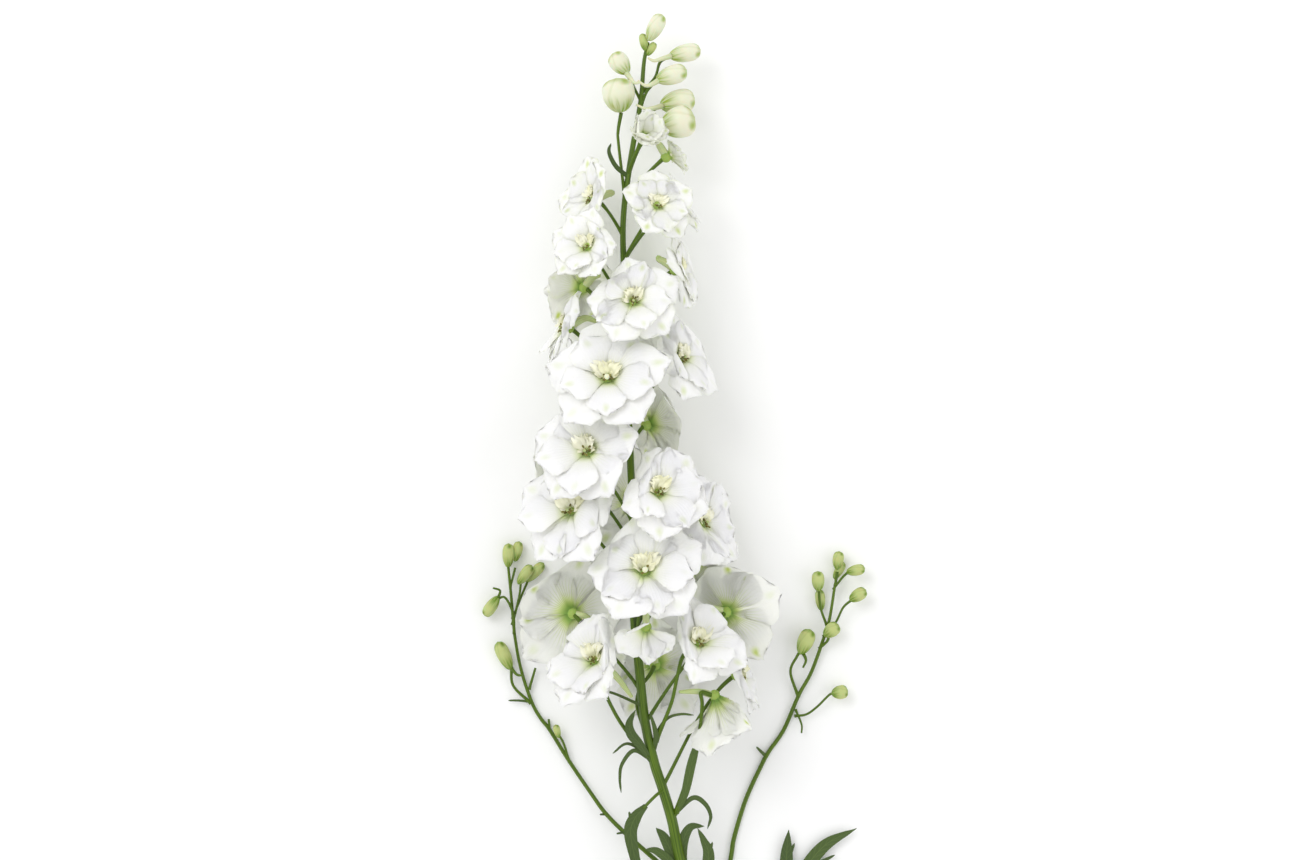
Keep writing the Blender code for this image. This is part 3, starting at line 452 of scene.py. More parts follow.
def sepal(sheet, bloom, angle, length, width, start, finish, twist, phase, draw, green, look,
          hollow, rows=26, columns=15):
    """Adds one sepal: a claw that widens to a rounded blade with a folded, ruffled edge.

    Its half width rises smoothly to the widest place and falls from there like an ellipse. Its
    midline bends from one lean to another off the facing axis. The edges come forward with the
    square of the way out, the twist tips the whole blade, and sine waves grow towards edge and tip.
    """
    along = np.linspace(0.0, 1.0, rows)
    across = np.linspace(-1.0, 1.0, columns)
    fine = np.linspace(0.0, 1.0, 60)
    bend = np.radians(start + (finish - start) * np.minimum(1.0, fine / 0.6) ** 0.8)
    p = [draw.uniform(0, 2 * math.pi) for _ in range(6)]
    grow = np.clip(along / WIDEST, 0, 1)
    rise = 0.13 + 0.87 * grow * grow * (3 - 2 * grow)
    fall = np.sqrt(np.clip(1 - (np.clip(along - WIDEST, 0, 1) / 0.402) ** 2, 0.002, 1))
    half = width * rise * fall * (1 + 0.02 * along * np.sin(17 * along + p[0]))
    s, t = np.meshgrid(along, across, indexing="ij")
    rough = np.random.default_rng(int(p[1] * 1000)).normal(0, 1, (4, rows))
    left = half * (1 + 0.022 * rough[0] * along)
    right = half * (1 + 0.022 * rough[1] * along)
    blend = np.abs(t) ** 4
    rim = np.where(t < 0, left[:, None], right[:, None])
    half = half[:, None] * (1 - blend) + rim * blend
    reach = s * (1 - 0.13 * t * t * s * s)
    reach = reach - s ** 8 * (0.020 * np.abs(np.sin(4.2 * t + p[1])) + 0.010 * np.sin(19 * t + p[2]))
    midline = follow(bend, reach, length, 1.3 * MM)
    wide = half * t
    front = half * (hollow * t * t * (1 - 1.3 * s * s))
    front = front + wide * math.sin(math.radians(twist))
    front = front + 0.035 * length * t * s * np.sin(7.0 * s + phase)
    edge = np.abs(t) ** 3 * s
    ripple = np.sin(19 * s + p[2] + 1.7 * t) + 0.55 * np.sin(37 * s + p[3] - 2.0 * t)
    tip = s ** 5 * (np.sin(8.5 * t + p[4]) + 0.5 * np.sin(15 * t + p[5]))
    front = front + look.ruffle * length * (0.026 * edge * ripple + 0.020 * tip)
    front = front + 0.004 * length * edge * np.where(t < 0, rough[2][:, None], rough[3][:, None])
    front = front - 0.035 * half * np.exp(-(t / 0.14) ** 2) * (1 - s)
    front = front + 0.014 * half * np.cos(9 * math.pi * t) * s * (1 - s) * 2
    grid = blade(bloom, angle, midline, front, wide * math.cos(math.radians(twist)))
    skins(sheet, grid, look.skin, s, t, SEPAL, draw.random(), green)


def bee_petal(sheet, bloom, angle, length, width, start, finish, draw):
    """Adds one small petal of the eye: narrow below, with two ruffled lobes at its tip.

    It is made as a sepal is, with a notch in the middle of its tip and sine waves on its face.
    """
    rows, columns = 12, 9
    along = np.linspace(0.0, 1.0, rows)
    across = np.linspace(-1.0, 1.0, columns)
    s, t = np.meshgrid(along, across, indexing="ij")
    fine = np.linspace(0, 1, 40)
    bend = np.radians(start + (finish - start) * fine)
    reach = s * (1 - 0.24 * s ** 3 * np.exp(-(t / 0.18) ** 2) - 0.20 * s * t * t)
    midline = follow(bend, reach, length, 1.2 * MM)
    grow = np.clip(along / 0.75, 0, 1)
    half = width * (0.28 + 0.72 * grow * grow * (3 - 2 * grow)) * (1 - 0.35 * along ** 6)
    p = draw.uniform(0, 6)
    front = half[:, None] * (0.45 * t * t - 0.2) + 0.09 * length * s * s * np.sin(6.5 * t + p)
    front = front + 0.05 * length * s ** 2 * np.sin(13 * t + 2 * p) + 0.04 * length * np.sin(9 * s + p)
    grid = blade(bloom, angle, midline, front, half[:, None] * t)
    skins(sheet, grid, BEE_THICK, s, t, BEE, draw.random(), 0.0)


def rings(centres, axis, sizes, sides):
    """Rings round a line of centres, square to the axis; sizes takes the angles and gives radii.

    Returns the grid, and how far round each column is, from 0 to 1.
    """
    axis = unit(axis)
    least = int(np.argmin(np.abs(axis.reshape(-1, 3)).mean(axis=0)))
    side = unit(np.cross(axis, np.eye(3)[least]))
    other = np.cross(side, axis)
    if axis.ndim == 2:
        side, other = side[:, None], other[:, None]
    angle = np.linspace(0, 2 * math.pi, sides, endpoint=False)
    size = sizes(angle)
    grid = (
        centres[:, None]
        + (size * np.cos(angle))[..., None] * side
        + (size * np.sin(angle))[..., None] * other
    )
    return grid, (angle / (2 * math.pi))[None, :]


def tube(path, radii, sides, ridge=0.0, ridges=5):
    """Rings round a path, closed at both ends; returns the grid and its u and v.

    The radius goes up and down round each ring by the ridge, as many times as there are ridges.
    """
    path, radii = np.asarray(path, float), np.asarray(radii, float)
    path = np.vstack([path[:1], path, path[-1:]])
    radii = np.concatenate([[radii[0] * 0.03], radii, [radii[-1] * 0.03]])
    ahead = np.gradient(path[1:-1], axis=0)
    ahead = np.vstack([ahead[:1], ahead, ahead[-1:]])
    grid, u = rings(
        path, ahead, lambda angle: radii[:, None] * (1 + ridge * np.cos(ridges * angle)), sides,
    )
    length = np.concatenate([[0], np.cumsum(np.linalg.norm(np.diff(path, axis=0), axis=1))])
    return grid, u, (length * 20)[:, None]


def ball(centre, axis, length, width, rows, sides):
    """A small drawn-out ball, with sines for radii; returns the grid and its u and v."""
    level = np.linspace(0.0, math.pi, rows)
    path = centre + np.cos(level)[:, None] * -unit(axis) * length / 2
    sizes = np.maximum(np.sin(level), 0.02) * width / 2
    grid, u = rings(path, axis, lambda angle: sizes[:, None], sides)
    return grid, u, (level / math.pi)[:, None]


def bud_grid(base, tip, width, rows=26, sides=40):
    """A closed bud: a ball drawn out to a blunt tip, with three sepals that lap over each other.

    The laps turn a little along the bud, each with a raised edge, and the tip has five low lobes.
    """
    level = np.linspace(0.0, 1.0, rows)
    off = np.abs(2 * level - 1)
    profile = np.sqrt(np.clip(1 - np.where(level > 0.5, off ** 3.0, off ** 1.7), 0.0004, 1))
    swell = 0.99 + 0.12 * (level - 0.52)

    def sizes(angle):
        """Radii of the bud: one row a ring, one column an angle."""
        turned = angle[None, :] + 0.9 * (level[:, None] - 0.5)
        lap = (3 * turned / (2 * math.pi)) % 1.0
        ribs = 0.020 * np.cos(3 * turned) * np.sin(math.pi * level)[:, None]
        edge = 0.055 * (np.clip(lap / 0.10, 0, 1) - lap) * level[:, None] ** 0.7
        crown = 0.05 * np.cos(5 * angle)[None, :] * np.clip(level - 0.8, 0, 1)[:, None] * 5
        return 0.5 * width * (profile * swell)[:, None] * (1 + ribs + edge + crown)

    centres = base + level[:, None] * np.linalg.norm(tip - base) * unit(tip - base)
    grid, u = rings(centres, tip - base, sizes, sides)
    return grid, u, level[:, None]


def lean(pair, opening):
    """The lean of a sepal in degrees at one opening of its bloom."""
    closed, more = pair
    return closed + more * opening


def bloom_piece(number, look, blooms):
    """One bloom with all its sepals, bee petals, stamens and spur."""
    bloom = blooms[number - 1]
    opening, roll, outer, green = BLOOMS[number - 1][5:]
    cup = CUPS.get(number, 0.0)
    draw = random.Random(SEED + number)
    extra = random.Random(100 + number)
    sheet = Sheet()
    length = bloom.length
    for index in range(outer):
        angle = OUTER_TURNS[outer][index] + roll + draw.uniform(-6, 6)
        size = length * draw.uniform(0.93, 1.03)
        width = length * OUTER_WIDTH * draw.uniform(0.92, 1.06)
        start = lean(OUTER_LEAN[0], opening) + cup + extra.uniform(-5, 5)
        finish = lean(OUTER_LEAN[1], opening) - 1.6 * cup + extra.uniform(-12, 8)
        sepal(sheet, bloom, math.radians(angle), size, width, start, finish,
              7 + extra.uniform(-6, 4), draw.uniform(0, 6), extra, green, look,
              extra.uniform(-0.04, 0.16))
    inner = look.inner if outer == 5 else 2
    for index in range(inner):
        angle = 126 + roll + index * 360 / max(inner, 1) + extra.uniform(-8, 8)
        size = length * extra.uniform(0.76, 0.88)
        width = length * INNER_WIDTH * extra.uniform(0.88, 1.06)
        start = lean(INNER_LEAN[0], opening) + extra.uniform(-6, 4)
        finish = lean(INNER_LEAN[1], opening) + extra.uniform(-16, 8)
        sepal(sheet, bloom, math.radians(angle), size, width, start, finish,
              4 + extra.uniform(-7, 5), extra.uniform(0, 6), extra, green, look,
              extra.uniform(-0.06, 0.12), 22, 13)
    heart = bloom.heart
    facing = bloom.facing
    if outer == 5 and not cup:
        for angle, reach in BEE_PETALS:
            angle = math.radians(angle + roll * 0.3 + extra.uniform(-8, 8))
            bee_petal(sheet, bloom, angle, length * reach, length * reach * BEE_WIDTH,
                      extra.uniform(8, 22), extra.uniform(48, 96), extra)
        for index in range(look.stamens):
            angle = extra.uniform(0, 2 * math.pi)
            out, _ = bloom.away(angle)
            spread = extra.uniform(0.05, 0.7)
            reach = length * extra.uniform(0.09, 0.16)
            end = heart + facing * reach + out * reach * spread - bloom.up * length * 0.035
            middle = heart + facing * reach * 0.55 + out * reach * spread * 0.2
            path = settle(smooth([heart, middle, end], 5), bloom.walls)
            grid, u, v = tube(path, np.linspace(0.28, 0.16, 5) * MM, 5)
            sheet.add(grid, u, v, FILAMENT, (0.0, extra.random(), 0.5), closed=True)
            turn = unit(out + facing * extra.uniform(-0.3, 0.8))
            size = length * extra.uniform(0.026, 0.038)
            grid, u, v = ball(path[-1], turn, size * 1.5, size, 6, 7)
            sheet.add(grid, u, v, ANTHER, (0.0, extra.random(), 0.0), closed=True)
        tip = heart + facing * length * 0.15 - bloom.up * length * 0.03
        large, pale = (1.0, 1.0) if number in FULL_EYES else (0.6, 0.3)
        grid, u, v = ball(tip, facing, length * 0.10 * large, length * 0.09 * large, 8, 10)
        sheet.add(grid, u, v, FILAMENT, (0.0, 0.5, pale), closed=True)
    core, u, v = ball(heart - facing * 0.6 * MM, facing, 5.4 * MM, 5.6 * MM, 10, 16)
    sheet.add(core, u, v, SPUR, (1.0, 0.5, 1.4), closed=True)
    if number in OWN_SPURS:
        back = place(*OWN_SPURS[number])
        bow = (heart + back) / 2 + bloom.up * 2 * MM
    else:
        back = heart - facing * SPUR_LENGTH * 0.85 + bloom.up * SPUR_LENGTH * 0.35
        bow = heart - facing * SPUR_LENGTH * 0.45 + bloom.up * SPUR_LENGTH * 0.38
    path = smooth([heart, bow, back], 18)
    path[1:] = settle(path[1:], bloom.walls, 2.5 * MM, 1.6 * MM)
    sizes = np.interp(np.linspace(0, 1, 18), [0, 0.3, 0.75, 1], [1.9, 1.8, 1.3, 0.75]) * MM
    grid, u, v = tube(path, sizes, 12, 0.08, 6)
    level = np.linspace(0, 1, 20)[:, None]
    sheet.add(grid, u, level, SPUR, (1.0, extra.random(), 0.35 + 0.4 * level), closed=True)
    return sheet


def stalk_path(bloom):
    """A stalk that leaves the stem below a bloom and reaches its back."""
    end = bloom.heart - bloom.facing * (CORE + 0.6 * MM)
    out, reach = outward(end)
    foot = stem_at(end[1] - 1.15 * reach - 4 * MM)
    first = foot + np.array([0, 0.45 * reach, 0]) + out * 0.25 * reach
    last = end - bloom.facing * 0.3 * reach - np.array([0, 0.2 * reach, 0])
    end = bloom.heart - bloom.facing * 1.5 * MM
    s = np.linspace(0, 1, 24)[:, None]
    line = (1 - s) ** 3 * foot + 3 * s * (1 - s) ** 2 * first
    line = line + 3 * s * s * (1 - s) * last + s ** 3 * end
    line[:, 2] = np.maximum(line[:, 2], 1.2 * MM)
    return line


class Green:
    """A green body made of stalks, leaf blades and buds."""

    def __init__(self, look):
        self.look = look
        self.sheet = Sheet()
        self.draw = random.Random(SEED)

    def stalk(self, spots, radii):
        """Adds a stalk through the given places, with radii in mm."""
        self.stalk_at(places(spots), radii)

    def stalk_at(self, path, radii):
        """Adds a stalk along a path in metres, with radii in mm, and a swollen foot."""
        count = max(16, 7 * len(path))
        path = smooth(path, count)
        sizes = np.interp(np.linspace(0, 1, count), np.linspace(0, 1, len(radii)), radii) * MM
        sizes[:3] *= FOOT_SWELL
        grid, u, v = tube(path, sizes, 10, self.look.ridge * 0.7)
        self.sheet.add(grid, u, v, STALK, (0.0, self.draw.random(), 0.0), closed=True)

    def leaf(self, spots, widths, fold=LEAF_FOLD):
        """Adds a leaf blade along a midrib, with full widths in mm and a pointed tip.

        Both halves rise from the midrib like a shallow trough, and wave a little along the leaf.
        """
        rows, across = 30, 9
        line = smooth(places(spots), rows)
        along = np.linspace(0, 1, rows)
        half = np.interp(along, np.linspace(0, 1, len(widths)), widths) * MM / 2
        blend = np.convolve(np.pad(half, 3, mode="edge"), np.ones(7) / 7, "valid")
        half = blend * np.clip((1.03 - along) / 0.12, 0.02, 1)
        ahead = unit(np.gradient(line, axis=0))
        side = unit(np.cross(ahead, UPWARD))
        lift = np.cross(side, ahead)
        s, t = np.meshgrid(along, np.linspace(-1, 1, across), indexing="ij")
        p = self.draw.uniform(0, 6)
        grid = line[:, None] + (half[:, None] * t)[..., None] * side[:, None]
        rise = (fold + 0.14) * np.abs(t) + 0.10 * np.abs(t) * np.sin(11 * s + p)
        grid = grid + (half[:, None] * rise)[..., None] * lift[:, None]
        grid[..., 2] = np.maximum(grid[..., 2], 0.4 * MM)
        seed = self.draw.random()
        skins(self.sheet, grid, LEAF_THICK, s, t, LEAF, seed, 0.0)

    def bud(self, base, tip, width):
        """Adds a bud between two places of the layout."""
        base, tip = place(*base), place(*tip)
        base = base - unit(tip - base) * 1.0 * MM
        grid, u, v = bud_grid(base, tip, width * MM, 18, 30)
        self.sheet.add(grid, u, v, BUD, (0.0, self.draw.random(), 1.0), closed=True)


def add_leaves(stem):
    """Bracts and lobed leaves at the foot of the flower head."""
    stem.leaf([(651, 762, 29), (640, 745, 33), (631, 733, 36), (629.5, 722, 38), (635.5, 709, 40)],
              [2, 4.5, 5.2, 3.8, 0.9])
    stem.leaf([(651, 760, 29), (634, 751, 31), (622, 765, 29), (619.7, 780, 26), (621, 795, 23)],
              [2.4, 2.2, 1.8, 1.4, 0.9], fold=0.0)
    stem.leaf([(650, 757, 29), (628, 744, 32), (612.5, 754, 31)], [2.0, 1.5, 0.9], fold=0.0)
    stem.leaf([(645, 708, 31), (633.5, 702, 33), (609, 692, 34), (594, 694.5, 33)],
              [1.8, 1.5, 1.3, 0.9], fold=0.0)
    stem.leaf([(654, 750, 29), (656, 735, 32), (650, 712, 35)], [2.4, 3.0, 0.9], fold=0.0)
    stem.leaf([(655, 745, 29), (659, 730, 31), (668, 718, 34), (681, 714, 35), (694, 715, 35)],
              [2.0, 1.8, 1.5, 1.3, 0.9], fold=0.0)
    stem.stalk([(671, 822, 25), (680, 811, 26)], [1.0, 0.8])
    stem.leaf([(677, 815, 25.5), (685, 794, 29), (691, 766, 33), (696, 747, 35), (700, 733, 36)],
              [1.6, 4.2, 4.8, 3.4, 0.9])
    stem.leaf([(677, 814, 25.5), (693, 799, 28), (705, 805, 27), (711, 818, 24), (708, 832, 20)],
              [1.6, 2.6, 2.4, 1.8, 0.9], fold=0.0)
    stem.stalk([(665, 790, 27), (655, 797, 31), (643, 809, 32)], [0.9, 0.8, 0.8])
    stem.leaf([(646, 806, 32), (636, 817, 31.5), (630.5, 832, 29), (634, 857, 22), (641, 885, 14),
               (645, 915, 6)], [2.0, 6.5, 7.0, 5.2, 4.0, 0.9])
    stem.leaf([(632, 824, 30.5), (629, 812, 32)], [3.0, 0.9], fold=0.0)
    stem.leaf([(684, 884, 20.5), (673, 858, 21), (664, 840, 21), (656, 831, 20)],
              [5.0, 6.5, 5.0, 0.9])
    stem.leaf([(683, 880, 19), (682, 850, 22), (690, 830, 23), (704.6, 829, 21)],
              [5.0, 6.0, 4.2, 0.9])
    stem.leaf([(685, 886, 20.5), (670, 865, 22), (657, 854, 22), (645, 852.5, 21)],
              [4.0, 4.8, 4.2, 0.9])
    stem.leaf([(688, 900, 18), (705, 880, 20), (709, 857, 21), (704, 843, 21.5), (698, 831, 21.5)],
              [3.0, 6.5, 6.0, 3.4, 0.9])
    stem.leaf([(708, 862, 20.5), (713, 845, 20.5)], [3.4, 0.9], fold=0.0)
    stem.stalk([(699, 955, 14), (725, 958, 13), (760, 938, 7), (797, 908, 3)],
               [1.3, 1.1, 1.1, 1.1])
    fan = [
        [(796, 910, 3), (789, 886, 3.5), (789, 860, 4), (791, 836.5, 4)],
        [(799, 908, 3), (806, 880, 3.5), (828, 852, 4), (860, 835, 4)],
        [(800, 910, 3), (826, 896, 4), (850, 886, 5), (876, 888, 4)],
        [(799, 912, 3), (818, 928, 4), (834, 950, 4), (846, 974, 3)],
        [(796, 912, 3), (795, 940, 4), (786, 965, 4), (775, 986, 2)],
    ]
    for spots in fan:
        stem.leaf(spots, [4.0, 7.0, 6.5, 0.9])
    stem.leaf([(789, 868, 3.8), (797, 850, 4)], [3.6, 0.9], fold=0.0)
    stem.leaf([(811, 876, 3.5), (838, 862, 4)], [3.8, 0.9], fold=0.0)
    stem.leaf([(632, 600, 35), (638, 616, 37), (634, 633, 39)], [3.0, 5.4, 0.9])


def add_spurs_at_top(stem):
    """Small buds and curled bracts near the tip."""
    stem.bud((645, 47, 24), (642, 31, 23), 4.2)
    stem.bud((648, 52, 24), (655, 40, 22), 4.0)
    stem.leaf([(628, 176, 29), (616, 166, 31), (609, 152, 32), (611, 143, 32)],
              [2.2, 2.4, 2.0, 0.9], fold=0.0)


def left_shoot(shoot):
    """The side shoot on the left, with its buds and bracts."""
    line = [
        (682.5, 889, 16.0), (668, 876, 12.5), (649, 860, 10), (623.7, 838, 8), (604.7, 819, 6.5),
        (590.6, 800, 5), (567, 765.5, 3.6), (548, 735, 3.2), (538.6, 723, 3.2), (529.4, 706, 3.4),
        (518.5, 672, 4), (512, 635, 5), (509.4, 603, 6), (506, 569, 6),
    ]
    shoot.stalk(line, [1.25, 1.15, 1.0, 0.95, 0.8, 0.7])
    shoot.bud((506, 568, 6), (506.5, 545, 6.5), 6.0)
    shoot.stalk([(508, 590, 6), (513, 570, 4.5)], [0.6, 0.6])
    shoot.bud((513, 562, 4.2), (517, 543, 4.2), 5.2)
    shoot.stalk([(510, 628, 5), (517, 600, 6.5), (519, 584, 7)], [0.7, 0.6, 0.6])
    shoot.bud((517, 585, 7), (530, 567, 8), 5.6)
    shoot.stalk([(510, 622, 5.5), (520, 597, 4), (526, 583, 3.6)], [0.6, 0.6, 0.6])
    shoot.bud((525, 583, 3.8), (542, 565, 4), 5.4)
    shoot.stalk([(512, 637, 5), (511, 616, 8), (503, 600, 9), (495, 602, 8)], [0.7, 0.7, 0.6, 0.6])
    shoot.bud((495.5, 600, 8), (482, 619, 5), 6.0)
    shoot.stalk([(495, 602, 8), (498, 593, 10), (491, 590, 11)], [0.8, 0.6, 0.5])
    shoot.stalk([(529, 708, 3.4), (511, 690, 4), (509, 670, 5)], [0.8, 0.7, 0.8])
    shoot.bud((508, 672, 5), (495, 645, 6), 7.0)
    shoot.stalk([(509, 672, 5), (515, 678, 8), (521, 679, 9)], [0.9, 0.7, 0.5])
    shoot.stalk([(527, 694, 3.5), (533.5, 672, 3.5)], [0.7, 0.6])
    shoot.stalk([(548, 736, 3.2), (547, 724, 3.5)], [0.7, 0.6])
    shoot.stalk([(568, 768, 3.6), (562, 748, 5), (556, 738, 6)], [0.7, 0.6, 0.6])
    shoot.bud((557, 741, 5.8), (554, 729, 6.4), 3.6)
    shoot.leaf([(526, 706, 3.4), (516, 705, 4), (506, 705, 4)], [1.4, 1.2, 0.9], fold=0.0)
    shoot.leaf([(605, 820, 6.5), (599, 820, 8)], [1.4, 0.9], fold=0.0)
    shoot.leaf([(623, 838, 9), (616, 839, 10)], [1.4, 0.9], fold=0.0)


def right_shoot(shoot):
    """The side shoot on the right, with its buds and bracts."""
    line = [
        (713.5, 1001, 7.5), (719, 960, 4.5), (727, 900, 2.8), (733, 860, 2.4), (736, 843, 2.3),
        (747.4, 806, 2.2), (762.6, 772.6, 2.2), (771, 757, 2.2), (786, 735, 2.5), (801, 700, 3.4),
        (814, 676, 4), (826.3, 642, 5), (832.4, 621.6, 5.5), (838, 586, 6),
    ]
    shoot.stalk(line, [1.3, 1.2, 1.1, 1.05, 0.9, 0.7])
    shoot.bud((840, 570, 6), (842, 553, 6.5), 5.6)
    shoot.stalk([(838, 588, 6), (840, 574, 6)], [0.7, 0.8])
    shoot.bud((838, 580, 4), (847, 564, 3.5), 4.6)
    shoot.stalk([(836, 592, 5.6), (845, 580, 7), (851, 574, 8)], [0.6, 0.6, 0.7])
    shoot.bud((851, 574, 8), (868, 570, 9), 5.6)
    shoot.stalk([(830, 630, 5.2), (823, 610, 7), (821, 590, 8)], [0.7, 0.6, 0.7])
    shoot.bud((821, 592, 8), (820, 573, 9), 6.4)
    shoot.bud((824, 612, 4), (822, 592, 3.4), 5.0)
    shoot.stalk([(826, 640, 5), (838, 626, 7), (846, 610, 8), (855, 602, 8)], [0.7, 0.6, 0.6, 0.7])
    shoot.bud((854, 602, 8), (869, 592, 9), 6.4)
    shoot.stalk([(822, 652, 4.6), (830, 644, 7), (831, 638, 8)], [0.7, 0.7, 0.8])
    shoot.bud((828, 638, 8), (841, 627, 9), 7.2)
    shoot.stalk([(801, 702, 3.4), (792.7, 676, 5), (799, 660, 7), (803, 654, 7.5)],
                [0.8, 0.7, 0.7, 0.9])
    shoot.bud((803, 656, 7.5), (812.5, 632, 9), 8.2)
    shoot.stalk([(804, 654, 7), (808, 663, 10), (805, 671, 10)], [1.0, 0.7, 0.5])
    shoot.stalk([(797, 721, 2.8), (809, 719, 4), (820, 711, 5), (832, 699, 6), (838, 697, 6.5)],
                [0.7, 0.6, 0.6, 0.6, 0.8])
    shoot.bud((836, 697.5, 6.5), (851, 694.5, 7), 7.0)
    shoot.stalk([(798, 714, 3), (804, 729, 4.5), (804, 738, 5)], [0.6, 0.5, 0.45])
    shoot.leaf([(768, 762, 2.4), (763, 757, 3.5), (758, 752, 4)], [1.8, 1.6, 0.9], fold=0.0)


class Nodes:
    """Short ways to add shader nodes to one tree."""

    def __init__(self, tree):
        self.tree = tree

    def new(self, kind, *links, **settings):
        """A node with its settings, and its first inputs linked or set in order."""
        node = self.tree.nodes.new(kind)
        for label, value in settings.items():
            setattr(node, label, value)
        for socket, link in zip(node.inputs, links):
            self.put(socket, link)
        return node

    def put(self, socket, value):
        """Links a socket to an input, or sets its value."""
        if value is None:
            return
        if isinstance(value, bpy.types.NodeSocket):
            self.tree.links.new(value, socket)
        elif isinstance(value, tuple) and len(value) == 3 and socket.type == "RGBA":
            socket.default_value = (*value, 1.0)
        else:
            socket.default_value = value

    def maths(self, operation, first, second=None, third=None, clamp=False):
        """One sum, held between 0 and 1 if asked."""
        node = self.new("ShaderNodeMath", first, second, third, operation=operation,
                        use_clamp=clamp)
        return node.outputs[0]

    def times(self, first, second, clamp=False):
        """One value times another."""
        return self.maths("MULTIPLY", first, second, None, clamp)

    def scaled(self, value, factor, start, clamp=False):
        """A value times a factor, plus a start."""
        return self.maths("MULTIPLY_ADD", value, factor, start, clamp)

    def ramp(self, value, low, high, bottom=0.0, top=1.0):
        """A smooth step from one value to another."""
        node = self.new("ShaderNodeMapRange", value, interpolation_type="SMOOTHSTEP")
        for label, number in (("From Min", low), ("From Max", high),
                              ("To Min", bottom), ("To Max", top)):
            self.put(node.inputs[label], number)
        return node.outputs["Result"]

    def mix(self, amount, first, second):
        """A blend of two colours."""
        node = self.new("ShaderNodeMix", data_type="RGBA")
        self.put(node.inputs["Factor"], amount)
        self.put(node.inputs[6], first)
        self.put(node.inputs[7], second)
        return node.outputs[2]

    def fact(self, label):
        """One value that the mesh carries at each point."""
        return self.new("ShaderNodeAttribute", attribute_name=label).outputs["Fac"]

    def uv(self):
        """The two values of the UV map."""
        source = self.new("ShaderNodeUVMap", uv_map="UVMap")
        parts = self.new("ShaderNodeSeparateXYZ", source.outputs[0])
        return parts.outputs[0], parts.outputs[1]

    def effect(self, name, *values):
        """Places a shared effect, with its own values in the order of the effect's inputs."""
        node = self.new("ShaderNodeGroup", node_tree=effect_group(name))
        for socket, value in zip(node.inputs, values):
            self.put(socket, value)
        return node.outputs[0]


def fill_lines(nodes, position, count, sharpness):
    """Even lines: the size of a sine of place times count, raised to the sharpness."""
    wave = nodes.maths("ABSOLUTE", nodes.maths("SINE", nodes.times(position, count)))
    return nodes.maths("POWER", wave, sharpness)


def fill_spot(nodes, across, along, middle_across, middle_along, half_across, half_along, rim, core):
    """A soft oval spot: 1 inside the core and 0 past the rim, both in parts of its half sizes."""
    squares = []
    for value, middle, half in ((across, middle_across, half_across),
                                (along, middle_along, half_along)):
        part = nodes.maths("DIVIDE", nodes.maths("SUBTRACT", value, middle), half)
        squares.append(nodes.maths("POWER", nodes.maths("ABSOLUTE", part), 2.0))
    return nodes.ramp(nodes.maths("SQRT", nodes.maths("ADD", *squares)), rim, core)


def fill_streaks(nodes, around, along, seed, around_scale, along_scale, detail, low, high):
    """Lengthwise streaks: noise drawn out along the piece, from 0 below low to 1 above high."""
    stretch = nodes.new("ShaderNodeCombineXYZ", nodes.times(around, around_scale),
                        nodes.times(along, along_scale), seed)
    noise = nodes.new("ShaderNodeTexNoise", stretch.outputs[0])
    noise.inputs["Scale"].default_value = 1.0
    nodes.put(noise.inputs["Detail"], detail)
    return nodes.ramp(noise.outputs["Fac"], low, high)


# Effects that several materials share: how each is filled, and its inputs.
EFFECTS = {
    "fine_lines": (fill_lines, ("Place", "Count", "Sharpness")),
    "oval_spot": (fill_spot, ("Across", "Along", "Middle Across", "Middle Along",
                              "Half Across", "Half Along", "Rim", "Core")),
    "streaks": (fill_streaks, ("Around", "Along", "Seed", "Around Scale", "Along Scale",
                               "Detail", "Low", "High")),
}


def effect_group(name):
    """The node group of a shared effect, with named inputs and a mask; it is built once."""
    tree = bpy.data.node_groups.get(name)
    if tree is None:
        fill, labels = EFFECTS[name]
        tree = bpy.data.node_groups.new(name, "ShaderNodeTree")
        for label in labels:
            tree.interface.new_socket(name=label, in_out="INPUT", socket_type="NodeSocketFloat")
        tree.interface.new_socket(name="Mask", in_out="OUTPUT", socket_type="NodeSocketFloat")
        nodes = Nodes(tree)
        source = nodes.new("NodeGroupInput")
        mask = fill(nodes, *[source.outputs[label] for label in labels])
        nodes.new("NodeGroupOutput", mask)
    return tree


def start_material(name, rough, inside=0.0, depth=0.0):
    """An empty Principled material: returns it, its node helper and its shader.

    Inside is how much light passes below the surface, and depth how far in metres.
    """
    material = bpy.data.materials.new(name)
    material.use_nodes = True
    shader = material.node_tree.nodes["Principled BSDF"]
    shader.inputs["Roughness"].default_value = rough
    shader.inputs["Specular IOR Level"].default_value = 0.3
    if inside:
        shader.inputs["Subsurface Weight"].default_value = inside
        shader.inputs["Subsurface Scale"].default_value = depth
    return material, Nodes(material.node_tree), shader


def bump(nodes, shader, height, strength, distance):
    """Raises the surface by a height."""
    node = nodes.new("ShaderNodeBump")
    node.inputs["Strength"].default_value = strength
    node.inputs["Distance"].default_value = distance
    nodes.put(node.inputs["Height"], height)
    nodes.put(shader.inputs["Normal"], node.outputs[0])


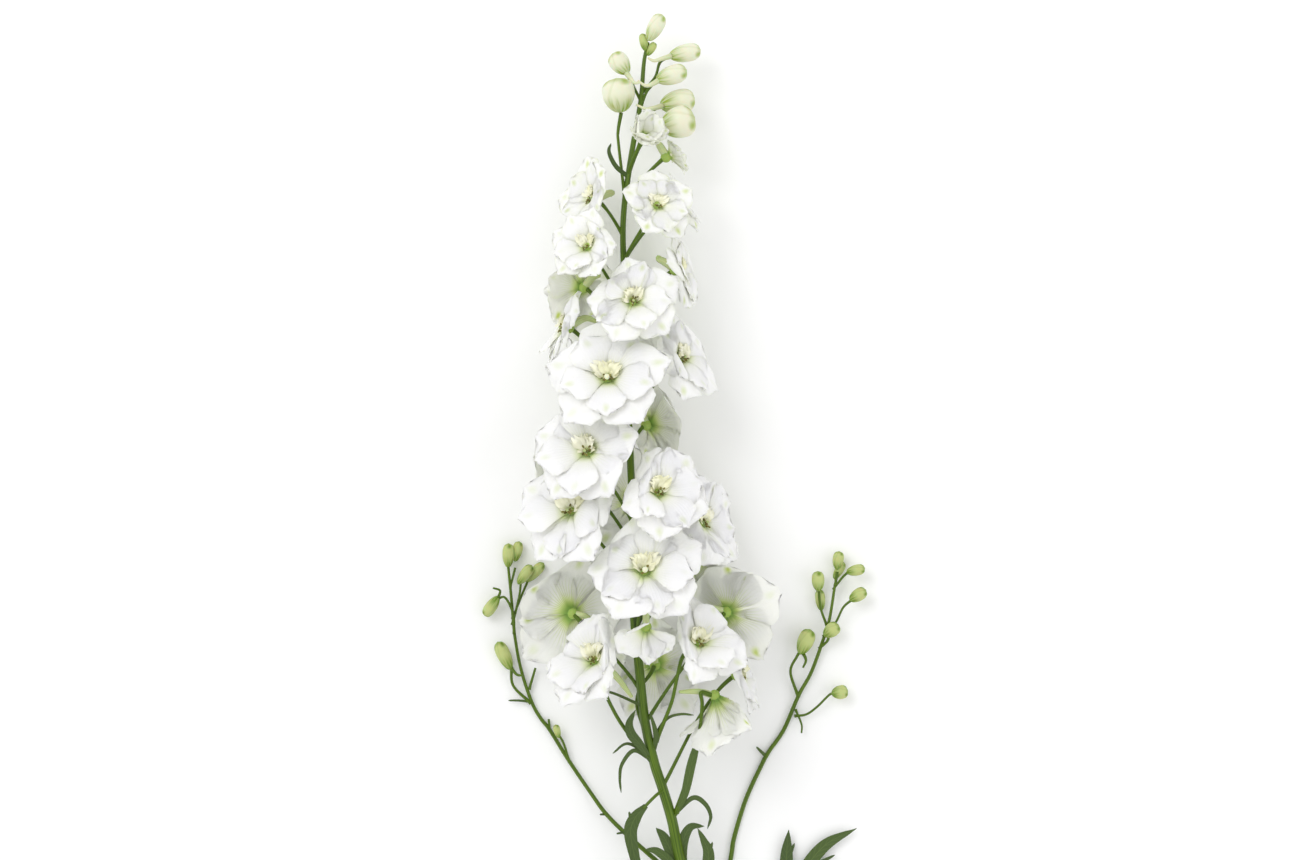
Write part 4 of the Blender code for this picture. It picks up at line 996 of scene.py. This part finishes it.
def petal_material(look):
    """White sepals: green along the claw and its veins, a painted warm shade towards the claw, and a
    green spot below the tip.
    """
    material, nodes, shader = start_material("petal_white", 0.55, 0.4, 0.0015)
    u, v = nodes.uv()
    back, seed, green = nodes.fact("back"), nodes.fact("seed"), nodes.fact("green")
    t = nodes.scaled(u, 2.0, -1.0)
    cloud = nodes.new("ShaderNodeTexNoise", nodes.new("ShaderNodeTexCoord").outputs["Object"])
    cloud.inputs["Scale"].default_value = 160.0
    cloud.inputs["Detail"].default_value = 3.0
    cloud = cloud.outputs["Fac"]
    wobble = nodes.scaled(cloud, 0.09, -0.045)
    vein = nodes.effect("fine_lines", nodes.maths("ADD", t, wobble), 20.0, 7.0)
    claw = nodes.times(nodes.ramp(v, 0.32, 0.08), nodes.scaled(back, 0.25, 0.70))
    streak = nodes.times(vein, nodes.ramp(v, 0.62, 0.08))
    streak = nodes.times(streak, nodes.scaled(back, 0.50, 0.22))
    flow = nodes.maths("ADD", claw, streak, clamp=True)
    aside = nodes.maths("ADD", t, nodes.times(wobble, 2.0))
    spot = nodes.effect("oval_spot", aside, v, 0.0, 0.80, 0.22, 0.13, 1.25, 0.0)
    power = nodes.scaled(green, 0.40, nodes.scaled(back, 0.45, 0.30))
    power = nodes.times(power, nodes.scaled(seed, 1.1, 0.15))
    spot = nodes.times(spot, power, clamp=True)
    body = nodes.mix(back, tuple(look.sepal), (0.92, 0.92, 0.87))
    # Painted shade: a warm cream tint towards the claw stands in for the warm light bounced about
    # inside the hollow of the bloom.
    painted_recess_warmth = nodes.times(nodes.ramp(v, 0.6, 0.12), 0.5)
    body = nodes.mix(painted_recess_warmth, body, (0.84, 0.85, 0.66))
    tinge = nodes.times(green, nodes.ramp(cloud, 0.35, 0.75, 0.1, 0.45))
    body = nodes.mix(tinge, body, (0.80, 0.84, 0.55))
    margin = nodes.times(nodes.ramp(nodes.maths("ABSOLUTE", t), 0.72, 1.0), green)
    body = nodes.mix(nodes.times(margin, 0.35), body, (0.62, 0.72, 0.30))
    colour = nodes.mix(flow, body, tuple(look.claw))
    deep = nodes.times(nodes.ramp(v, 0.20, 0.05), nodes.scaled(back, 0.4, 0.6))
    colour = nodes.mix(nodes.times(deep, 0.8), colour, (0.12, 0.30, 0.03))
    colour = nodes.mix(spot, colour, (0.50, 0.62, 0.12))
    nodes.put(shader.inputs["Base Color"], colour)
    bump(nodes, shader, nodes.scaled(vein, 0.35, nodes.times(cloud, 0.5)), 0.35, 0.0003)
    shader.inputs["Subsurface Radius"].default_value = (1.0, 0.97, 0.85)
    shader.inputs["Sheen Weight"].default_value = 0.15
    return material


def bee_material():
    """Cream petals of the eye, yellow-green at their foot."""
    material, nodes, shader = start_material("bee_cream", 0.6)
    _, v = nodes.uv()
    tip = nodes.mix(nodes.fact("seed"), (0.92, 0.91, 0.76), (0.88, 0.87, 0.60))
    colour = nodes.mix(nodes.ramp(v, 0.38, 0.0), tip, (0.60, 0.66, 0.16))
    nodes.put(shader.inputs["Base Color"], colour)
    shader.inputs["Sheen Weight"].default_value = 0.1
    return material


def anther_material():
    """Olive-brown stamen heads."""
    material, nodes, shader = start_material("anther_olive", 0.7)
    colour = nodes.mix(nodes.fact("seed"), (0.10, 0.085, 0.02), (0.26, 0.23, 0.06))
    nodes.put(shader.inputs["Base Color"], colour)
    return material


def filament_material():
    """Pale green filaments, nearly white where the green fact is one."""
    material, nodes, shader = start_material("filament_green", 0.55, 0.2, 0.001)
    colour = nodes.mix(nodes.fact("green"), (0.30, 0.42, 0.08), (0.80, 0.82, 0.62))
    nodes.put(shader.inputs["Base Color"], colour)
    return material


def spur_material():
    """Spurs and cups: ivory to yellow-green."""
    material, nodes, shader = start_material("spur_ivory", 0.55, 0.2, 0.0012)
    u, _ = nodes.uv()
    lines = nodes.effect("fine_lines", u, 37.0, 1.0)
    amount = nodes.times(nodes.fact("green"), nodes.scaled(lines, 0.5, 0.6), clamp=True)
    colour = nodes.mix(amount, (0.74, 0.76, 0.50), (0.34, 0.48, 0.10))
    nodes.put(shader.inputs["Base Color"], colour)
    return material


def bud_material(look):
    """Closed buds: pale between green ribs, greener at both ends and where the fact says so."""
    material, nodes, shader = start_material("bud_ivory", 0.5, 0.25, 0.0016)
    u, v = nodes.uv()
    green, seed = nodes.fact("green"), nodes.fact("seed")
    turned = nodes.maths("ADD", u, nodes.scaled(v, 0.143, -0.072))
    lap = nodes.maths("FRACT", nodes.times(turned, 3.0))
    off = nodes.maths("ABSOLUTE", nodes.maths("SUBTRACT", lap, 0.05))
    seam = nodes.ramp(off, 0.09, 0.0)
    line = nodes.effect("streaks", u, v, nodes.times(seed, 40.0), 26.0, 1.6, 2.0, 0.40, 0.66)
    foot = nodes.times(nodes.ramp(v, 0.60, 0.02), nodes.scaled(line, 0.8, 0.45))
    spot = nodes.effect("oval_spot", lap, v, 0.55, 0.87, 0.26, 0.10, 1.3, 0.1)
    amount = nodes.scaled(spot, 0.75, foot)
    amount = nodes.scaled(nodes.ramp(v, 0.84, 1.0), 0.6, amount)
    amount = nodes.scaled(seam, 0.13, amount)
    amount = nodes.scaled(green, 0.12, amount, clamp=True)
    pale = nodes.mix(green, tuple(look.bud), (0.54, 0.60, 0.24))
    dark = nodes.mix(green, (0.28, 0.40, 0.02), (0.14, 0.25, 0.01))
    nodes.put(shader.inputs["Base Color"], nodes.mix(amount, pale, dark))
    bump(nodes, shader, line, 0.2, 0.0002)
    return material


def stem_material(look):
    """Green stems with fine lengthwise streaks and a painted highlight along fine ribs."""
    material, nodes, shader = start_material("stem_green", 0.42)
    u, v = nodes.uv()
    ribs = nodes.maths("SINE", nodes.times(u, 2 * math.pi * 11))
    streak = nodes.effect("streaks", u, v, nodes.fact("seed"), 30.0, 3.0, 4.0, 0.35, 0.68)
    colour = nodes.mix(streak, (0.052, 0.105, 0.004), tuple(look.stem))
    # Painted highlight: a paler green along the crests of eleven painted ribs stands in for light
    # caught on the round stem.
    painted_rib_highlight = nodes.times(nodes.ramp(ribs, 0.5, 1.0), 0.35)
    colour = nodes.mix(painted_rib_highlight, colour, (0.17, 0.26, 0.025))
    nodes.put(shader.inputs["Base Color"], colour)
    bump(nodes, shader, nodes.maths("ADD", streak, ribs), 0.25, 0.0002)
    return material


def leaf_material(look):
    """Green leaf blades with a pale midrib and side veins."""
    material, nodes, shader = start_material("leaf_green", 0.48)
    u, v = nodes.uv()
    seed, back = nodes.fact("seed"), nodes.fact("back")
    t = nodes.maths("ABSOLUTE", nodes.scaled(u, 2.0, -1.0))
    slant = nodes.maths("SUBTRACT", nodes.times(v, 13.0), nodes.times(t, 1.6))
    side = nodes.effect("fine_lines", slant, math.pi, 12.0)
    vein = nodes.maths("MAXIMUM", nodes.ramp(t, 0.13, 0.0), nodes.times(side, 0.5))
    body = nodes.mix(seed, (0.020, 0.046, 0.003), tuple(look.leaf))
    body = nodes.mix(nodes.times(back, 0.4), body, (0.10, 0.15, 0.05))
    colour = nodes.mix(nodes.times(vein, 0.4), body, (0.14, 0.21, 0.05))
    nodes.put(shader.inputs["Base Color"], colour)
    bump(nodes, shader, vein, 0.3, 0.0003)
    return material


def floor_material():
    """A plain white table."""
    material, _, shader = start_material("table_white", 0.9)
    shader.inputs["Base Color"].default_value = (0.96, 0.96, 0.96, 1.0)
    shader.inputs["Specular IOR Level"].default_value = 0.1
    return material


def stand_in(piece, slot, *nodes):
    """Puts a piece on the body and in place of its nodes."""
    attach(piece, "root")
    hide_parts(*nodes)


class SPIKE_OT_blooms(Operator):
    """Add every open bloom of the spike"""

    bl_idname = "spike.blooms"
    bl_label = "Add Blooms"

    def execute(self, context):
        look = context.scene.spike_settings
        blooms, _ = layout()
        materials = [petal_material(look), bee_material(), anther_material(), filament_material(),
                     spur_material()]
        for number in range(1, len(BLOOMS) + 1):
            name = f"bloom_{number:02d}"
            piece = bloom_piece(number, look, blooms).build(name + "_petals", materials)
            stand_in(piece, "sepal_white", name)
        return {"FINISHED"}


class SPIKE_OT_buds(Operator):
    """Add the buds at the tip of the spike"""

    bl_idname = "spike.buds"
    bl_label = "Add Buds"

    def execute(self, context):
        material = bud_material(context.scene.spike_settings)
        for number, (base, tip, width, _) in enumerate(BUDS, 1):
            sheet = Sheet()
            grid, u, v = bud_grid(place(*base), place(*tip), width * MM)
            sheet.add(grid, u, v, 0, (0.0, number / 9, 0.0), closed=True)
            if number in BUD_SPURS:
                path = smooth(places(BUD_SPURS[number]), 14)
                sizes = np.linspace(1.5, 0.5, 14) * MM
                grid, u, v = tube(path, sizes, 10)
                level = np.linspace(0.35, 0.75, 16)[:, None]
                sheet.add(grid, u, level, 0, (0.0, number / 9, 0.25), closed=True)
            name = f"bud_{number:02d}"
            stand_in(sheet.build(name + "_sepals", [material]), "bud_ivory", name)
        return {"FINISHED"}


class SPIKE_OT_stem(Operator):
    """Add the main stem with its stalks, bracts and leaves"""

    bl_idname = "spike.stem"
    bl_label = "Add Stem"

    def execute(self, context):
        look = context.scene.spike_settings
        blooms, _ = layout()
        stem = Green(look)
        count = 220
        path = smooth(places(STEM), count)
        radii = [spot[3] for spot in STEM]
        sizes = np.interp(np.linspace(0, 1, count), np.linspace(0, 1, len(radii)), radii) * MM
        grid, u, v = tube(path, sizes, 24, look.ridge, 6)
        stem.sheet.add(grid, u, v, STALK, (0.0, 0.4, 0.0), closed=True)
        for number, bloom in enumerate(blooms, 1):
            if number in OWN_STALKS:
                line = places(OWN_STALKS[number])
                line = np.vstack([line, bloom.heart - unit(bloom.heart - line[-1]) * 1.5 * MM])
                stem.stalk_at(line, [1.2, 0.95, 0.9, 1.0, 1.3])
            else:
                stem.stalk_at(stalk_path(bloom), [1.0, 0.85, 0.8, 1.2])
        for base, _, _, spots in BUDS:
            if spots:
                stem.stalk_at(np.vstack([places(spots), place(*base)]), [0.8, 0.7, 1.0])
        add_leaves(stem)
        add_spurs_at_top(stem)
        materials = [stem_material(look), leaf_material(look), bud_material(look)]
        stand_in(stem.sheet.build("main_stem_green", materials), "stem_green", "main_stem")
        return {"FINISHED"}


class SPIKE_OT_shoots(Operator):
    """Add the two side shoots with their buds"""

    bl_idname = "spike.shoots"
    bl_label = "Add Side Shoots"

    def execute(self, context):
        look = context.scene.spike_settings
        materials = [stem_material(look), leaf_material(look), bud_material(look)]
        for name, fill in (("left_side_shoot", left_shoot), ("right_side_shoot", right_shoot)):
            shoot = Green(look)
            fill(shoot)
            stand_in(shoot.sheet.build(name + "_green", materials), "stem_green", name)
        return {"FINISHED"}


class SPIKE_OT_stage(Operator):
    """Add the table, lights and camera"""

    bl_idname = "spike.stage"
    bl_label = "Add Stage"

    def execute(self, context):
        scene = context.scene
        look = scene.spike_settings
        bpy.ops.mesh.primitive_plane_add(size=FLOOR_SIZE)
        floor = context.object
        floor.name = "table"
        floor.data.materials.append(floor_material())
        world = bpy.data.worlds.new("studio")
        world.use_nodes = True
        sky = world.node_tree.nodes["Background"]
        sky.inputs["Color"].default_value = (1.0, 1.0, 1.0, 1.0)
        sky.inputs["Strength"].default_value = look.sky
        scene.world = world
        for name, spot, size, share in LIGHTS:
            light = bpy.data.lights.new(name, "AREA")
            light.shape = "DISK"
            light.size = size
            light.energy = look.key * share
            holder = bpy.data.objects.new(name, light)
            holder.location = spot
            aim = -np.array(spot) + LIGHT_AIM
            flat = math.hypot(aim[0], aim[1])
            turn = math.atan2(flat, -aim[2])
            holder.rotation_euler = (turn, 0.0, math.atan2(-aim[0], aim[1]))
            scene.collection.objects.link(holder)
        camera = bpy.data.cameras.new("camera")
        camera.lens = look.lens
        camera.sensor_width = SENSOR
        centre = place(*VIEW_CENTRE)
        holder = bpy.data.objects.new("camera", camera)
        holder.location = (centre[0], centre[1], centre[2] + VIEW_WIDTH * look.lens / SENSOR)
        scene.collection.objects.link(holder)
        scene.camera = holder
        scene.view_settings.view_transform = "Standard"
        return {"FINISHED"}


class SPIKE_PT_panel(Panel):
    """Buttons and settings of the spike"""

    bl_idname = "SPIKE_PT_panel"
    bl_label = "Delphinium Spike"
    bl_space_type = "VIEW_3D"
    bl_region_type = "UI"
    bl_category = "Delphinium"

    def draw(self, context):
        look = context.scene.spike_settings
        for name in SpikeSettings.__annotations__:
            self.layout.prop(look, name)
        for kind in OPERATORS:
            self.layout.operator(kind.bl_idname)


OPERATORS = (SPIKE_OT_blooms, SPIKE_OT_buds, SPIKE_OT_stem, SPIKE_OT_shoots, SPIKE_OT_stage)
CLASSES = (SpikeSettings, *OPERATORS, SPIKE_PT_panel)


def register():
    """Adds the classes and the settings."""
    for item in CLASSES:
        bpy.utils.register_class(item)
    bpy.types.Scene.spike_settings = PointerProperty(type=SpikeSettings)


def unregister():
    """Removes the settings and the classes."""
    del bpy.types.Scene.spike_settings
    for item in reversed(CLASSES):
        bpy.utils.unregister_class(item)


def main():
    """Adds every piece and the stage."""
    register()
    bpy.ops.spike.blooms()
    bpy.ops.spike.buds()
    bpy.ops.spike.stem()
    bpy.ops.spike.shoots()
    bpy.ops.spike.stage()


if __name__ == "__main__":
    main()
